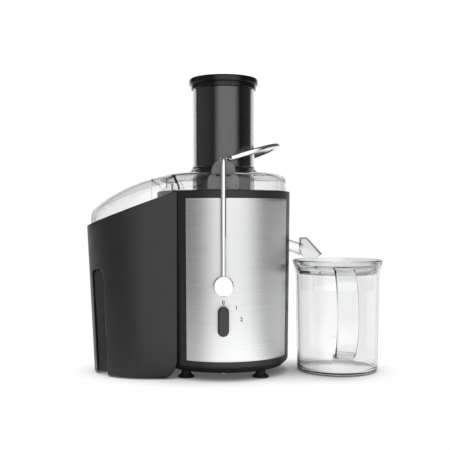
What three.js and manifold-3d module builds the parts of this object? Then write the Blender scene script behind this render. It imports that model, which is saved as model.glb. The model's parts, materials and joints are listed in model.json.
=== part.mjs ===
// A centrifugal juicer: round motor housing with a brushed front panel, clear lid with a wide feed chute and
// pusher, chromed locking arm, sieve basket over a universal motor, pulp container with its clear cover on the
// left, and a clear jug with a lid under the juice spout on the right.
// Millimetres, +Z up, -Y is the front. It is modelled about the motor's axis and centred on its footprint last.
import * as THREE from "three";
import { mergeVertices } from "three/addons/utils/BufferGeometryUtils.js";
import Module from "manifold-3d";

const wasm = await Module();
wasm.setup();

// ---------------------------------------------------------------- driving dimensions
const gap = 0.4; // between pieces that sit on or in each other
const fit = 0.2; // round the motor shaft
const wall = 3; // moulded shells

const bodyRadius = 87.5; // housing at its rim
const bodyDraft = 2.5; // how much narrower the housing is at its foot
const bodyTop = 235; // rim of the housing
const plinthBottom = 10; // underside of the housing
const plinthChamfer = 7;
const rimBand = 10; // plain black band above the panel
const plinthBand = 14.5; // plain black band below the panel
const panelThickness = 0.8;
const panelLeftDeg = 32.3; // the panel's edges, measured from the front
const panelRightDeg = 67.5;

const footRadius = 11;
const footStemRadius = 5;
const footPitchX = 94; // between feet, side to side
const footPitchY = 100;

const collectorDepth = 78; // from the rim to the underside of the juice collector
const deckGap = 8; // from the motor deck to the collector
const hubTubeRadius = 17; // the collector's raised centre tube
const hubTubeHeight = 18;

const chuteBore = 37.5;
const chuteWall = 3.4;
const chuteTop = 372;
const chuteDrop = 44; // how far the chute reaches below the rim
const domeInset = 5; // lid wall inside the rim
const domeHeight = 23;
const domeFillet = 14;
const lidWall = 2.5;

const pusherGap = 1.2; // pusher to bore
const capOverhang = 4.5; // pusher's cap beyond the chute
const capHeight = 11;

const spoutDrop = 18.8; // degrees below level
const spoutRadius = 8;
const spoutWall = 2;
const spoutRise = 8; // the spout's centre above the collector's underside, at the housing wall
const nozzleReach = 44; // nozzle's tip from the housing wall
const nozzleHalfWidth = 11;

const pivotHeight = 118; // locking arm's axis
const hubRadius = 12.5;
const hubThickness = 9.5;
const wireRadius = 3.5;
const armRise = 39.5; // arm's run over the lid, above the rim
const loopClearance = 14.1; // from the chute to the middle of the loop's wire
const loopReach = 69;
const loopRiseDeg = 18;
const pinRadius = 4;

const knobHeight = 75; // the switch's axis
const knobWidth = 14;
const knobLength = 36;
const knobDepth = 11;
const switchShaftRadius = 3;

const containerGap = 1; // container's concave face to the housing
const containerLength = 91.5; // left end of the pulp container from its concave face
const containerHalfDepth = 67;
const containerDraft = 10;
const containerWall = 2.6;
const containerFloat = 1.2; // container and jug above the table
const rimFall = 0.365; // slope of the container's rim
const endLength = 85; // rounded left end, along X
const cornerCut = 12.5; // off the container's lower corner beside the housing
const gripReach = 24; // far and near sides of the finger recesses, from the container's left end
const gripMargin = 8;
const gripTop = 135;
const gripHalfWeb = 21.5;
const ledgeDrop = 8; // the cover's ledge below the rim
const coverInset = 5; // clear cover inside the container's left end
const coverSideInset = 3.4; // and inside its front and rear
const coverRise = 29; // cover's crest above the rim
const coverCrest = -108; // where the crest is
const coverBow = 0.0024;
const coverFillet = 22;
const coverWall = 2.2;
const coverOverlap = 8; // hood past where the container's sides meet the housing
const coverFloor = 120; // the clear cover is drawn down to here, and then cut at its ledge
const lidClearance = 0.8; // between the hood's edge and the lid and housing it follows

const jugRadius = 54.9; // below the flare
const jugDraft = 2.1;
const jugHeight = 145.5;
const jugFlare = 4.6;
const jugFlareHeight = 18;
const jugWall = 2.4;
const jugFloat = 0.6;
const jugGap = 3.8; // between the jug's rim and the housing
const nozzleClearance = 4; // round the nozzle in the jug lid's notch
const handleWidth = 26.6;
const handleReach = 41; // handle's outer face from the jug's wall
const handleBar = 5.5;
const handleBottom = 24;
const handleTopDrop = 6; // handle's top below the rim

const shaftRadius = 4;
const statorHalf = 31;
const stackHeight = 36;
const armatureRadius = 23.8;
const fanRadius = 34;

// facets round a full turn
const shellSteps = 40; // housing, lid and collector
const tubeSteps = 28; // chute, pusher and basket
const jugSteps = 32;

// ---------------------------------------------------------------- materials
const plastic = (color, roughness = 0.5) =>
  new THREE.MeshStandardMaterial({ color, roughness, metalness: 0 });
const metal = (color, roughness = 0.3) => new THREE.MeshStandardMaterial({ color, roughness, metalness: 1 });
const clear = new THREE.MeshStandardMaterial({ color: 0xe8ecee, roughness: 0.05, transparent: true,
  opacity: 0.3 });
const black = plastic(0x2b2b2c, 0.45);
const glossBlack = plastic(0x151516, 0.15);
const rubber = plastic(0x0c0c0c, 0.9);
const white = plastic(0xd8d8d4, 0.5);
const steel = metal(0xc9cbcc, 0.35);
const chrome = metal(0xf2f3f4, 0.05);
const iron = metal(0x6a6c70, 0.6);
const copper = metal(0xb4623a, 0.4);
const brass = metal(0xb89650, 0.4);

// ---------------------------------------------------------------- solids
// A closed BufferGeometry as a manifold-3d solid, turned outwards if its profile ran the other way.
function solid(geometry) {
  const plain = geometry.index ? geometry.toNonIndexed() : geometry;
  const bare = new THREE.BufferGeometry().setAttribute("position", plain.getAttribute("position"));
  const merged = mergeVertices(bare, 1e-4);
  const triVerts = new Uint32Array(merged.index.array);
  const make = () =>
    new wasm.Manifold(new wasm.Mesh({ numProp: 3, vertProperties: merged.attributes.position.array,
    triVerts }));
  const first = make();
  if (first.volume() > 0) return first;
  for (let i = 0; i < triVerts.length; i += 3) [triVerts[i + 1], triVerts[i + 2]] = [triVerts[i + 2],
    triVerts[i + 1]];
  return make();
}

function geometryOf(body) {
  const mesh = body.getMesh();
  const points = new Float32Array(mesh.numVert * 3);
  for (let i = 0; i < mesh.numVert; i++) points.set(mesh.vertProperties.subarray(i * mesh.numProp,
    i * mesh.numProp + 3), i * 3);
  const geometry = new THREE.BufferGeometry()
    .setAttribute("position", new THREE.BufferAttribute(points, 3))
    .setIndex(new THREE.BufferAttribute(mesh.triVerts, 1));
  geometry.computeVertexNormals();
  return geometry;
}

// A closed profile of [radius, z] corners turned about Z.
function turned(profile, segments = 48) {
  const points = profile.map(([r, z]) => new THREE.Vector2(r, z));
  const onAxis = profile[0][0] === 0 && profile[profile.length - 1][0] === 0;
  if (!onAxis) points.push(points[0].clone());
  return solid(new THREE.LatheGeometry(points, segments).rotateX(Math.PI / 2));
}

const disc = (radius, z0, z1, segments = 20) => turned([[0, z0], [radius, z0], [radius, z1], [0, z1]],
  segments);
const ring = (inner, outer, z0, z1, segments = 20) =>
  turned([[inner, z0], [outer, z0], [outer, z1], [inner, z1]], segments);

function block(x0, x1, y0, y1, z0, z1) {
  return solid(new THREE.BoxGeometry(x1 - x0, y1 - y0, z1 - z0).translate((x0 + x1) / 2, (y0 + y1) / 2,
    (z0 + z1) / 2));
}

// A shape drawn in X and Y, raised from z0 to z1.
const upright = (shape, z0, z1, curveSegments = 16) =>
  solid(new THREE.ExtrudeGeometry(shape,
    { depth: z1 - z0, bevelEnabled: false, curveSegments }).translate(0, 0, z0));

// A shape drawn in X and Z, run from y0 to y1.
const sideways = (shape, y0, y1, curveSegments = 12) =>
  solid(new THREE.ExtrudeGeometry(shape,
    { depth: y1 - y0, bevelEnabled: false, curveSegments }).rotateX(Math.PI / 2).translate(0, y1, 0));

// A rod of the given radius along Y.
const rodY = (radius, x, z, y0, y1, segments = 24) =>
  disc(radius, y0, y1, segments).rotate([-90, 0, 0]).translate([x, 0, z]);

// A rod along the spout's slanting line, between two distances from the housing wall.
function alongSpout(radius, from, to, segments = 24) {
  return disc(radius, from, to, segments).rotate([0, 90 + spoutDrop, 0]).translate([bodyRadius - 2, 0,
    spoutHeight]);
}

// A shape drawn in Y and Z, run from x0 to x1.
function crossways(shape, x0, x1, curveSegments = 12) {
  const turn = new THREE.Matrix4().makeBasis(new THREE.Vector3(0, 1, 0), new THREE.Vector3(0, 0, 1),
    new THREE.Vector3(1, 0, 0));
  const run = new THREE.ExtrudeGeometry(shape, { depth: x1 - x0, bevelEnabled: false, curveSegments });
  return solid(run.applyMatrix4(turn).translate(x0, 0, 0));
}

// A closed skin through rings of points that all have the same number of corners, with flat ends.
function lofted(rings) {
  const count = rings[0].length;
  const positions = rings.flat().flatMap((p) => [p.x, p.y, p.z]);
  const index = [];
  for (let r = 0; r + 1 < rings.length; r++)
    for (let i = 0; i < count; i++) {
      const [a, b] = [r * count + i, r * count + ((i + 1) % count)];
      index.push(a, b, b + count, a, b + count, a + count);
    }
  const cap = (ringPoints, start, flip) => {
    const u = ringPoints[0].clone().sub(ringPoints[Math.floor(count / 2)]).normalize();
    const normal = new THREE.Vector3();
    ringPoints.forEach((p, i) => normal.add(p.clone().cross(ringPoints[(i + 1) % count])));
    const v = normal.normalize().clone().cross(u);
    const flat = ringPoints.map((p) => new THREE.Vector2(p.dot(u), p.dot(v)));
    for (const [a, b, c] of THREE.ShapeUtils.triangulateShape(flat, []))
      index.push(start + a, start + (flip ? c : b), start + (flip ? b : c));
  };
  cap(rings[0], 0, true);
  cap(rings[rings.length - 1], (rings.length - 1) * count, false);
  const geometry = new THREE.BufferGeometry().setAttribute("position",
    new THREE.Float32BufferAttribute(positions, 3));
  return solid(geometry.setIndex(index));
}

const outline = (corners) => new THREE.Shape(corners.map(([x, y]) => new THREE.Vector2(x, y)));

const joined = (...parts) => parts.reduce((sum, part) => sum.add(part));

const juicer = new THREE.Group();
juicer.name = "juicer";
function add(name, body, material) {
  const mesh = new THREE.Mesh(geometryOf(body), material);
  mesh.name = name;
  juicer.add(mesh);
}

// ---------------------------------------------------------------- derived places
const rad = (deg) => (deg * Math.PI) / 180;
const radiusAt = (z) => bodyRadius - (bodyDraft * (bodyTop - z)) / (bodyTop - plinthBottom);
const panelBottom = plinthBottom + plinthBand;
const panelTop = bodyTop - rimBand;
const flangeRadius = bodyRadius - wall - gap;
const flangeThickness = 3;
const ledgeRadius = bodyRadius - 7;
const collectorFloor = bodyTop - collectorDepth;
const spoutHeight = collectorFloor + spoutRise;
const deckTop = collectorFloor - deckGap;
const baseRadius = radiusAt(plinthBottom) - plinthChamfer - 2.6;
const baseTop = plinthBottom + wall;
const domeRadius = bodyRadius - domeInset;
const domeTop = bodyTop + domeHeight;
const chuteRadius = chuteBore + chuteWall;
const capRadius = chuteRadius + capOverhang;
const loopHalfWidth = chuteRadius + loopClearance;
const chuteBottom = bodyTop - chuteDrop;
const pusherRadius = chuteBore - pusherGap;
const wireLine = bodyRadius + wireRadius + 1; // the arm's legs, from the motor's axis

// ---------------------------------------------------------------- housing, panel and base
// The part of a ring between two directions, measured from the front towards the right.
function sector(body, fromDeg, toDeg, reach) {
  const corners = [[0, 0]];
  const steps = 8;
  for (let i = 0; i <= steps; i++) {
    const a = rad(fromDeg + ((toDeg - fromDeg) * i) / steps);
    corners.push([reach * Math.sin(a), -reach * Math.cos(a)]);
  }
  return body.intersect(upright(outline(corners), -10, bodyTop + 50));
}

// A conical skin that follows the housing between two heights, from one depth under its face to another.
const skin = (z0, z1, deep, shallow) =>
  turned([[radiusAt(z0) - deep, z0], [radiusAt(z0) - shallow, z0], [radiusAt(z1) - shallow, z1],
    [radiusAt(z1) - deep, z1]], shellSteps);

const bossAngles = [0, 90, 180, 270];
const bossReach = baseRadius - 9;

function housing() {
  const inner = (z) => radiusAt(z) - wall;
  let body = turned([
    [baseRadius + 2.6, plinthBottom], [radiusAt(plinthBottom), plinthBottom + plinthChamfer],
    [bodyRadius, bodyTop],
    [bodyRadius - wall, bodyTop], [bodyRadius - wall, bodyTop - flangeThickness - gap],
      [ledgeRadius, bodyTop - flangeThickness - gap],
    [ledgeRadius, bodyTop - 7], [inner(bodyTop - 12), bodyTop - 12], [inner(deckTop), deckTop],
      [12, deckTop], [12, deckTop - wall],
    [inner(deckTop - wall), deckTop - wall], [inner(plinthBottom + 9), plinthBottom + 9],
      [baseRadius + gap, baseTop + 1],
    [baseRadius + gap, plinthBottom],
  ], shellSteps);
  for (const a of bossAngles) {
    const arm = block(bossReach - 4.5, baseRadius + 6, -1.5, 1.5, baseTop + gap, baseTop + 26);
    const boss = disc(4.5, baseTop + gap, baseTop + 28, 12).translate([bossReach, 0, 0]);
    body = body.add(joined(arm, boss).rotate([0, 0, a]));
    body = body.subtract(disc(1.6, 0, baseTop + 16, 8).translate([bossReach, 0, 0]).rotate([0, 0, a]));
  }
  const deep = panelThickness + gap;
  const recess = sector(skin(panelBottom - gap, panelTop + gap, deep, -3), -panelLeftDeg - 0.3,
    panelRightDeg + 0.3, bodyRadius + 20);
  body = body.subtract(recess);
  body = body.subtract(alongSpout(spoutRadius + 2 * gap, -12, 12));
  for (const side of [-1, 1]) {
    const y0 = side < 0 ? -bodyRadius - 5 : bodyRadius - 15;
    body = body.subtract(rodY(pinRadius + 0.6, 0, pivotHeight, y0, y0 + 20));
  }
  body = body.subtract(rodY(switchShaftRadius + 1.5, 0, knobHeight, -bodyRadius - 5, -bodyRadius + 15));
  body = body.subtract(rodY(5.6, 38, 32, 55, bodyRadius));
  for (let row = 0; row < 5; row++)
    body = body.subtract(block(-24, 24, bodyRadius - 20, bodyRadius + 5, 48 + row * 9, 51.5 + row * 9));
  return body;
}

function frontPanel() {
  const sheet = sector(skin(panelBottom, panelTop, panelThickness, 0), -panelLeftDeg, panelRightDeg,
    bodyRadius + 20);
  return sheet
    .subtract(rodY(pinRadius + 0.6, 0, pivotHeight, -bodyRadius - 5, -bodyRadius + 15))
    .subtract(rodY(switchShaftRadius + 1.5, 0, knobHeight, -bodyRadius - 5, -bodyRadius + 15));
}

const footPlaces = [];
for (const [row, y] of [["front", -1], ["rear", 1]])
  for (const [side, x] of [["left", -1], ["right", 1]]) footPlaces.push([`${row}_${side}`,
    (x * footPitchX) / 2, (y * footPitchY) / 2]);

function basePlate() {
  let plate = disc(baseRadius, plinthBottom, baseTop, shellSteps);
  for (const [, x, y] of footPlaces) plate = plate
    .subtract(disc(footStemRadius + gap, 0, 20, 16).translate([x, y, 0]));
  for (const a of bossAngles) plate = plate
    .subtract(disc(2.2, 0, 20, 12).translate([bossReach, 0, 0]).rotate([0, 0, a]));
  for (let i = -2; i <= 2; i++) plate = plate.subtract(block(-24, 24, i * 9 - 2, i * 9 + 2, 0, 20));
  return plate;
}

const foot = () => turned([
  [0, 0], [footRadius - 0.6, 0], [footRadius, 1.2], [footStemRadius + 1, 5.6],
    [footStemRadius + 1, plinthBottom - gap],
  [footStemRadius - 0.2, plinthBottom - gap], [footStemRadius - 0.2, baseTop + gap],
    [footStemRadius + 1.2, baseTop + gap],
  [footStemRadius + 0.6, baseTop + 2.4], [0, baseTop + 2.4],
], 16);

const baseScrew = () => turned([
  [0, plinthBottom - 2.2], [3.6, plinthBottom - 2.2], [3.6, plinthBottom - gap], [1.4, plinthBottom - gap],
  [1.4, baseTop + 14], [0, baseTop + 15],
], 12);

add("housing", housing(), black);
add("front_panel", frontPanel(), steel);
add("base_plate", basePlate(), black);
for (const [place, x, y] of footPlaces) add(`foot_${place}`, foot().translate([x, y, 0]), rubber);
bossAngles.forEach((a, i) => add(`base_screw_${i + 1}`,
  baseScrew().translate([bossReach, 0, 0]).rotate([0, 0, a]), steel));
add("cable_gland", turned([
  [3.6, 0], [8, 0], [8, 3], [5.2, 3], [5.2, 9], [3.6, 9],
], 16).rotate([90, 0, 0]).translate([38, Math.sqrt(radiusAt(32) ** 2 - 38 ** 2) + 6.4, 32]), rubber);

// ---------------------------------------------------------------- motor
const stackTop = deckTop - 48;
const stackBottom = stackTop - stackHeight;
const bracketTop = deckTop - 28;
const bracketBottom = stackBottom - 24;
const couplingTop = collectorFloor + hubTubeHeight + 2;
const shaftBottom = bracketBottom - 22;

function stator() {
  const h = statorHalf;
  let core = upright(outline([[-h + 7, -h], [h - 7, -h], [h, -h + 7], [h, h - 7], [h - 7, h], [-h + 7, h],
    [-h, h - 7], [-h, -h + 7]]), stackBottom, stackTop);
  core = core.subtract(disc(armatureRadius + 0.7, stackBottom - 1, stackTop + 1, 28));
  for (const sx of [-1, 1])
    for (const sy of [-1, 1]) {
      const x = [sx * 16, sx * (armatureRadius + 4.2)].sort((a, b) => a - b);
      const y = [sy * 12, sy * 20].sort((a, b) => a - b);
      core = core.subtract(block(x[0], x[1], y[0], y[1], stackBottom - 1, stackTop + 1));
    }
  return core;
}

// A racetrack of wire round one pole of the stack, seen along X.
function fieldCoil(side) {
  const x = [side * (armatureRadius + 1.1), side * (armatureRadius + 3.8)].sort((a, b) => a - b);
  const outer = block(x[0], x[1], -19.6, 19.6, stackBottom - 7, stackTop + 7);
  return outer.subtract(block(x[0] - 1, x[1] + 1, -12.4 + gap, 12.4 - gap, stackBottom - gap,
    stackTop + gap));
}

function bracket(z, legEnd) {
  const up = legEnd > z ? 1 : -1;
  const plate = block(-statorHalf, statorHalf, -15, 15, z - 1.5, z + 1.5);
  const legs = [-1, 1].map((s) => {
    const x = [s * (statorHalf - 3), s * statorHalf].sort((a, b) => a - b);
    return block(x[0], x[1], -9, 9, Math.min(z, legEnd), Math.max(z, legEnd));
  });
  const cup = disc(14, z - (up > 0 ? 9 : 1.5), z + (up > 0 ? 1.5 : 9), 24);
  const bore = disc(11 + gap / 2, z - (up > 0 ? 10 : 0), z + (up > 0 ? 0 : 10), 24);
  return joined(plate, cup, ...legs).subtract(bore).subtract(disc(shaftRadius + 1, z - 20, z + 20, 16));
}

function fan() {
  let wheel = joined(ring(shaftRadius + fit, 9, bracketBottom - 20, bracketBottom - 11),
    ring(8, fanRadius, bracketBottom - 20, bracketBottom - 18.5, 28));
  const blades = 7;
  for (let i = 0; i < blades; i++)
    wheel = wheel.add(block(8, fanRadius - 1, -0.8, 0.8, bracketBottom - 19,
      bracketBottom - 11).rotate([0, 0, (360 * i) / blades]));
  return wheel.subtract(disc(shaftRadius + fit, bracketBottom - 30, bracketBottom, 16));
}

function armature() {
  let core = ring(shaftRadius + fit, armatureRadius, stackBottom, stackTop, 24);
  const slots = 12;
  for (let i = 0; i < slots; i++)
    core = core.subtract(block(armatureRadius - 6, armatureRadius + 2, -1, 1, stackBottom - 1,
      stackTop + 1).rotate([0, 0, (360 * i) / slots]));
  return core;
}

add("motor_stator", stator(), iron);
add("field_coil_left", fieldCoil(-1), copper);
add("field_coil_right", fieldCoil(1), copper);
add("motor_bracket_top", bracket(bracketTop, stackTop + gap), steel);
add("motor_bracket_bottom", bracket(bracketBottom, stackBottom - gap), steel);
add("bearing_top", ring(shaftRadius + fit, 11, bracketTop + gap, bracketTop + 7), steel);
add("bearing_bottom", ring(shaftRadius + fit, 11, bracketBottom - 7, bracketBottom - gap), steel);
add("motor_shaft", disc(shaftRadius, shaftBottom, couplingTop - 4, 16), steel);
add("armature", armature(), iron);
add("winding_head_top", ring(shaftRadius + fit, armatureRadius - 4, stackTop + gap, stackTop + 9), copper);
add("winding_head_bottom", ring(shaftRadius + fit, armatureRadius - 4, stackBottom - 5.6,
  stackBottom - gap), copper);
add("commutator", ring(shaftRadius + fit, 10.5, stackBottom - 18, stackBottom - 6), copper);
add("cooling_fan", fan(), white);
for (const [side, s] of [["front", -1], ["rear", 1]]) {
  const y = [s * 11.2, s * 27].sort((a, b) => a - b);
  add(`brush_holder_${side}`, block(-4, 4, y[0], y[1], stackBottom - 16.5, stackBottom - 8), brass);
}
// The motor hangs from the deck on rubber posts.
const damperPlaces = [["front_left", -24, -11], ["front_right", 24, -11], ["rear_left", -24, 11],
  ["rear_right", 24, 11]];
for (const [place, x, y] of damperPlaces)
  add(`motor_damper_${place}`, disc(3.6, bracketTop + 1.5 + gap, deckTop - wall - gap,
    12).translate([x, y, 0]), rubber);
add("shaft_seal", ring(shaftRadius + 2 * fit, 12 - gap, deckTop - wall, deckTop + 1), rubber);

// ---------------------------------------------------------------- basket, collector and spout
const collectorOuter = ledgeRadius - gap - 0.1;
const collectorInner = collectorOuter - 2.5;
const collectorRim = bodyTop - gap / 4;
const flangeBottom = collectorRim - flangeThickness;
const tubeTop = collectorFloor + hubTubeHeight;
const couplingRadius = 10.2;
const basketFloor = couplingTop + 3.4;
const basketFootRadius = chuteRadius + 4;
const basketRimRadius = collectorInner - 3;
const basketTop = bodyTop - 8;

add("juice_collector", turned([
  [hubTubeRadius - 2.5, collectorFloor], [collectorOuter - 6, collectorFloor],
    [collectorOuter, collectorFloor + 6],
  [collectorOuter, flangeBottom], [flangeRadius, flangeBottom], [flangeRadius, collectorRim],
    [collectorInner, collectorRim],
  [collectorInner, collectorFloor + 7.5], [collectorInner - 5, collectorFloor + 2.6],
    [hubTubeRadius, collectorFloor + 2.6],
  [hubTubeRadius, tubeTop], [hubTubeRadius - 2.5, tubeTop],
], shellSteps).subtract(alongSpout(spoutRadius + gap, -14, 10)), clear);

add("drive_coupling", turned([
  [0, couplingTop - 3.4], [shaftRadius + fit, couplingTop - 3.4], [shaftRadius + fit, deckTop + 2.5],
    [couplingRadius, deckTop + 2.5],
  [couplingRadius, couplingTop], [0, couplingTop],
], 24), black);

add("basket_base", turned([
  [0, couplingTop + gap], [couplingRadius + gap, couplingTop + gap], [couplingRadius + gap, tubeTop - 10],
  [couplingRadius + 3.2, tubeTop - 10], [couplingRadius + 3.2, couplingTop + gap],
    [basketFootRadius + 1, couplingTop + gap],
  [basketFootRadius + 1, basketFloor], [0, basketFloor],
], tubeSteps), white);

function gratingDisc() {
  const top = basketFloor + gap + 1.4;
  let plate = disc(basketFootRadius - 2.8, basketFloor + gap, top, tubeSteps);
  const rings = 2;
  for (let r = 1; r <= rings; r++)
    for (let i = 0; i < 8 * r; i++) {
      const tooth = block(-2.2, 2.2, -0.6, 0.6, top - 0.5, top + 1.4).rotate([0, 0, 35]);
      plate = plate.add(tooth.translate([6 + r * 13, 0, 0]).rotate([0, 0, (360 * (i + r / 3)) / (8 * r)]));
    }
  return plate;
}
add("grating_disc", gratingDisc(), steel);

add("sieve_basket", turned([
  [basketFootRadius - 2.2, basketFloor + gap], [basketFootRadius - 0.4, basketFloor + gap],
    [basketRimRadius - 3.4, basketTop - 5],
  [basketRimRadius, basketTop - 5], [basketRimRadius, basketTop], [basketRimRadius - 4.8, basketTop],
    [basketRimRadius - 4.8, basketTop - 4.6],
], tubeSteps), steel);

// The nozzle is a hollow hood that turns the juice down into the jug.
const wallX = bodyRadius - 2;
function spoutNozzle() {
  const tip = wallX + nozzleReach;
  const bottom = jugHeight + 2.5;
  const hood = (inset, floor) => outline([
    [wallX + 15 + inset, spoutHeight + 10 - inset], [wallX + 24 - inset * 0.5, spoutHeight + 10 - inset],
      [tip - inset * 1.4, bottom + 5.5 - inset * 0.4],
    [tip - 7.5 - inset, floor], [wallX + 21 + inset, floor], [wallX + 14 + inset, bottom + 8],
  ]);
  const shell = sideways(hood(0, bottom), -nozzleHalfWidth, nozzleHalfWidth);
  const hollow = sideways(hood(spoutWall, bottom - 5), -nozzleHalfWidth + spoutWall,
    nozzleHalfWidth - spoutWall);
  return shell.subtract(hollow).subtract(alongSpout(spoutRadius + gap, 5, 24));
}
add("spout_tube", alongSpout(spoutRadius, -7.5, 19).subtract(alongSpout(spoutRadius - spoutWall, -10, 25)),
  clear);
add("spout_nozzle", spoutNozzle(), clear);

// ---------------------------------------------------------------- lid, chute and pusher
const lidFoot = bodyTop + gap;

// Corners of a quarter round in a turned profile, from angle a to b about [r, z].
function quarter(r, z, radius, a, b, steps = 3) {
  return Array.from({ length: steps + 1 }, (_, i) => {
    const t = rad(a + ((b - a) * i) / steps);
    return [r + radius * Math.cos(t), z + radius * Math.sin(t)];
  });
}

function dome(grow) {
  const r = domeRadius - domeFillet;
  const z = domeTop - domeFillet;
  return [[domeRadius + grow, lidFoot], ...quarter(r, z, domeFillet + grow, 0, 90)];
}

function lid() {
  const shell = turned([
    ...dome(0), [chuteRadius + gap, domeTop], [chuteRadius + gap, domeTop - lidWall],
      ...dome(-lidWall).reverse(),
  ], shellSteps);
  const window = block(-domeRadius - 5, -domeRadius + 14, -38, 38, lidFoot + 3.5, domeTop - 8);
  return shell.subtract(window);
}
add("lid", lid(), clear);

add("feed_chute", turned([
  [chuteBore, chuteBottom], [chuteRadius, chuteBottom], [chuteRadius, domeTop + gap],
    [chuteRadius + 5, domeTop + gap],
  [chuteRadius + 5, domeTop + 2], [chuteRadius + 1.2, domeTop + 4], [chuteRadius, domeTop + 9],
    [chuteRadius, chuteTop], [chuteBore, chuteTop],
], tubeSteps), clear);

// The arm bears on these lugs, one at the front and one at the rear of the lid.
const lugTop = bodyTop + armRise - wireRadius - 1;
function lug() {
  const tab = new THREE.Shape();
  tab.moveTo(-14, bodyTop + 16);
  tab.lineTo(-14, lugTop - 11);
  tab.quadraticCurveTo(-13, lugTop, 0, lugTop);
  tab.quadraticCurveTo(13, lugTop, 14, lugTop - 11);
  tab.lineTo(14, bodyTop + 16);
  const foot = block(-19, 19, domeRadius - 9, domeRadius + 3, lidFoot + 0.6, bodyTop + 18);
  const web = sideways(tab, domeRadius - 6, domeRadius + 1);
  const clearOfLid = turned([[0, lidFoot - 5], [domeRadius + gap, lidFoot - 5], ...dome(gap),
    [0, domeTop + gap]], shellSteps);
  return joined(foot, web).subtract(clearOfLid);
}
add("lid_lug_front", lug().rotate([0, 0, 180]), white);
add("lid_lug_rear", lug(), white);

const pusherBottom = chuteBottom - 4;
add("pusher", turned([
  [0, pusherBottom], [pusherRadius - 3, pusherBottom], [pusherRadius, pusherBottom + 3],
    [pusherRadius, chuteTop],
  [pusherRadius - 2.5, chuteTop], [pusherRadius - 2.5, pusherBottom + 5.5], [0, pusherBottom + 2.5],
], tubeSteps), glossBlack);
add("pusher_cap", turned([
  [0, chuteTop - 5], [pusherRadius - 2.5 - gap, chuteTop - 5], [pusherRadius - 2.5 - gap, chuteTop + gap],
    [chuteRadius + gap, chuteTop + gap],
  [chuteRadius + gap, chuteTop - 3], [chuteRadius + 1.7, chuteTop - 3], [chuteRadius + 1.7, chuteTop + 2.6],
    [capRadius, chuteTop + 3],
  [capRadius, chuteTop + capHeight - 1.8], [capRadius - 1.8, chuteTop + capHeight + 0.5],
    [0, chuteTop + capHeight + 0.5],
], tubeSteps), glossBlack);

// ---------------------------------------------------------------- locking arm
const hubInner = wireLine - hubThickness / 2;
const hubOuter = wireLine + hubThickness / 2;
const runHeight = bodyTop + armRise;

// The wire's centre line: up the front, over the lug, round the chute, and down the rear.
function armPath() {
  const rise = rad(loopRiseDeg);
  const loopStart = new THREE.Vector3(7, 0, runHeight);
  const along = new THREE.Vector3(Math.cos(rise), 0, Math.sin(rise));
  const centre = loopStart.clone().addScaledVector(along, loopReach - loopHalfWidth);
  const at = (x, y, z) => new THREE.Vector3(x, y, z);
  const bend = 13;
  const half = (side) => [
    new THREE.LineCurve3(at(0, side * wireLine, pivotHeight + 7), at(0, side * wireLine, runHeight - bend)),
    new THREE.QuadraticBezierCurve3(at(0, side * wireLine, runHeight - bend),
      at(0, side * wireLine, runHeight), at(1, side * (wireLine - bend), runHeight)),
    new THREE.LineCurve3(at(1, side * (wireLine - bend), runHeight),
      at(5, side * (loopHalfWidth + 8), runHeight)),
    new THREE.QuadraticBezierCurve3(at(5, side * (loopHalfWidth + 8), runHeight),
      at(6, side * loopHalfWidth, runHeight),
      loopStart.clone().addScaledVector(along, 8).setY(side * loopHalfWidth)),
    new THREE.LineCurve3(loopStart.clone().addScaledVector(along, 8).setY(side * loopHalfWidth),
      centre.clone().setY(side * loopHalfWidth)),
  ];
  const steps = [1, 5, 2, 4, 1];
  const points = [];
  half(-1).forEach((curve, i) => points.push(...curve.getPoints(steps[i]).slice(i ? 1 : 0)));
  const arcSteps = 14;
  for (let i = 1; i < arcSteps; i++) {
    const t = rad(-90 + (180 * i) / arcSteps);
    points.push(centre.clone().addScaledVector(along,
      loopHalfWidth * Math.cos(t)).setY(loopHalfWidth * Math.sin(t)));
  }
  const back = [];
  half(1).forEach((curve, i) => back.push(...curve.getPoints(steps[i]).slice(i ? 1 : 0)));
  return points.concat(back.reverse());
}

// A round rod through a list of points, its section carried along without twist.
function rod(points, radius, sides = 10) {
  const rings = [];
  let normal = new THREE.Vector3(1, 0, 0);
  points.forEach((point, i) => {
    const before = points[Math.max(i - 1, 0)];
    const after = points[Math.min(i + 1, points.length - 1)];
    const tangent = after.clone().sub(before).normalize();
    normal = normal.addScaledVector(tangent, -normal.dot(tangent)).normalize().clone();
    const binormal = tangent.clone().cross(normal);
    rings.push(Array.from({ length: sides }, (_, k) => {
      const t = (2 * Math.PI * k) / sides;
      return point.clone().addScaledVector(normal, radius * Math.cos(t)).addScaledVector(binormal,
        radius * Math.sin(t));
    }));
  });
  return lofted(rings);
}
add("locking_arm", rod(armPath(), wireRadius), chrome);

for (const [end, side] of [["front", -1], ["rear", 1]]) {
  const socket = disc(wireRadius + gap, pivotHeight + 6.5, pivotHeight + 30,
    16).translate([0, side * wireLine, 0]);
  const face = turned([[0, hubInner], [hubRadius, hubInner], [hubRadius, hubOuter - 1.5],
    [hubRadius - 1.5, hubOuter], [0, hubOuter]], 24);
  const hub = face.rotate([side < 0 ? 90 : -90, 0, 0]).translate([0, 0, pivotHeight]);
  const pin = turned([[0, hubInner - gap], [pinRadius, hubInner - gap], [pinRadius, hubInner - 11],
    [0, hubInner - 11]].reverse(), 20);
  const head = disc(pinRadius + 2.5, hubInner - 13.5, hubInner - 10.5, 20);
  add(`arm_hub_${end}`, hub.subtract(socket), chrome);
  add(`arm_pivot_pin_${end}`, joined(pin, head).rotate([side < 0 ? 90 : -90, 0, 0]).translate([0, 0,
    pivotHeight]), steel);
}

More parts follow.
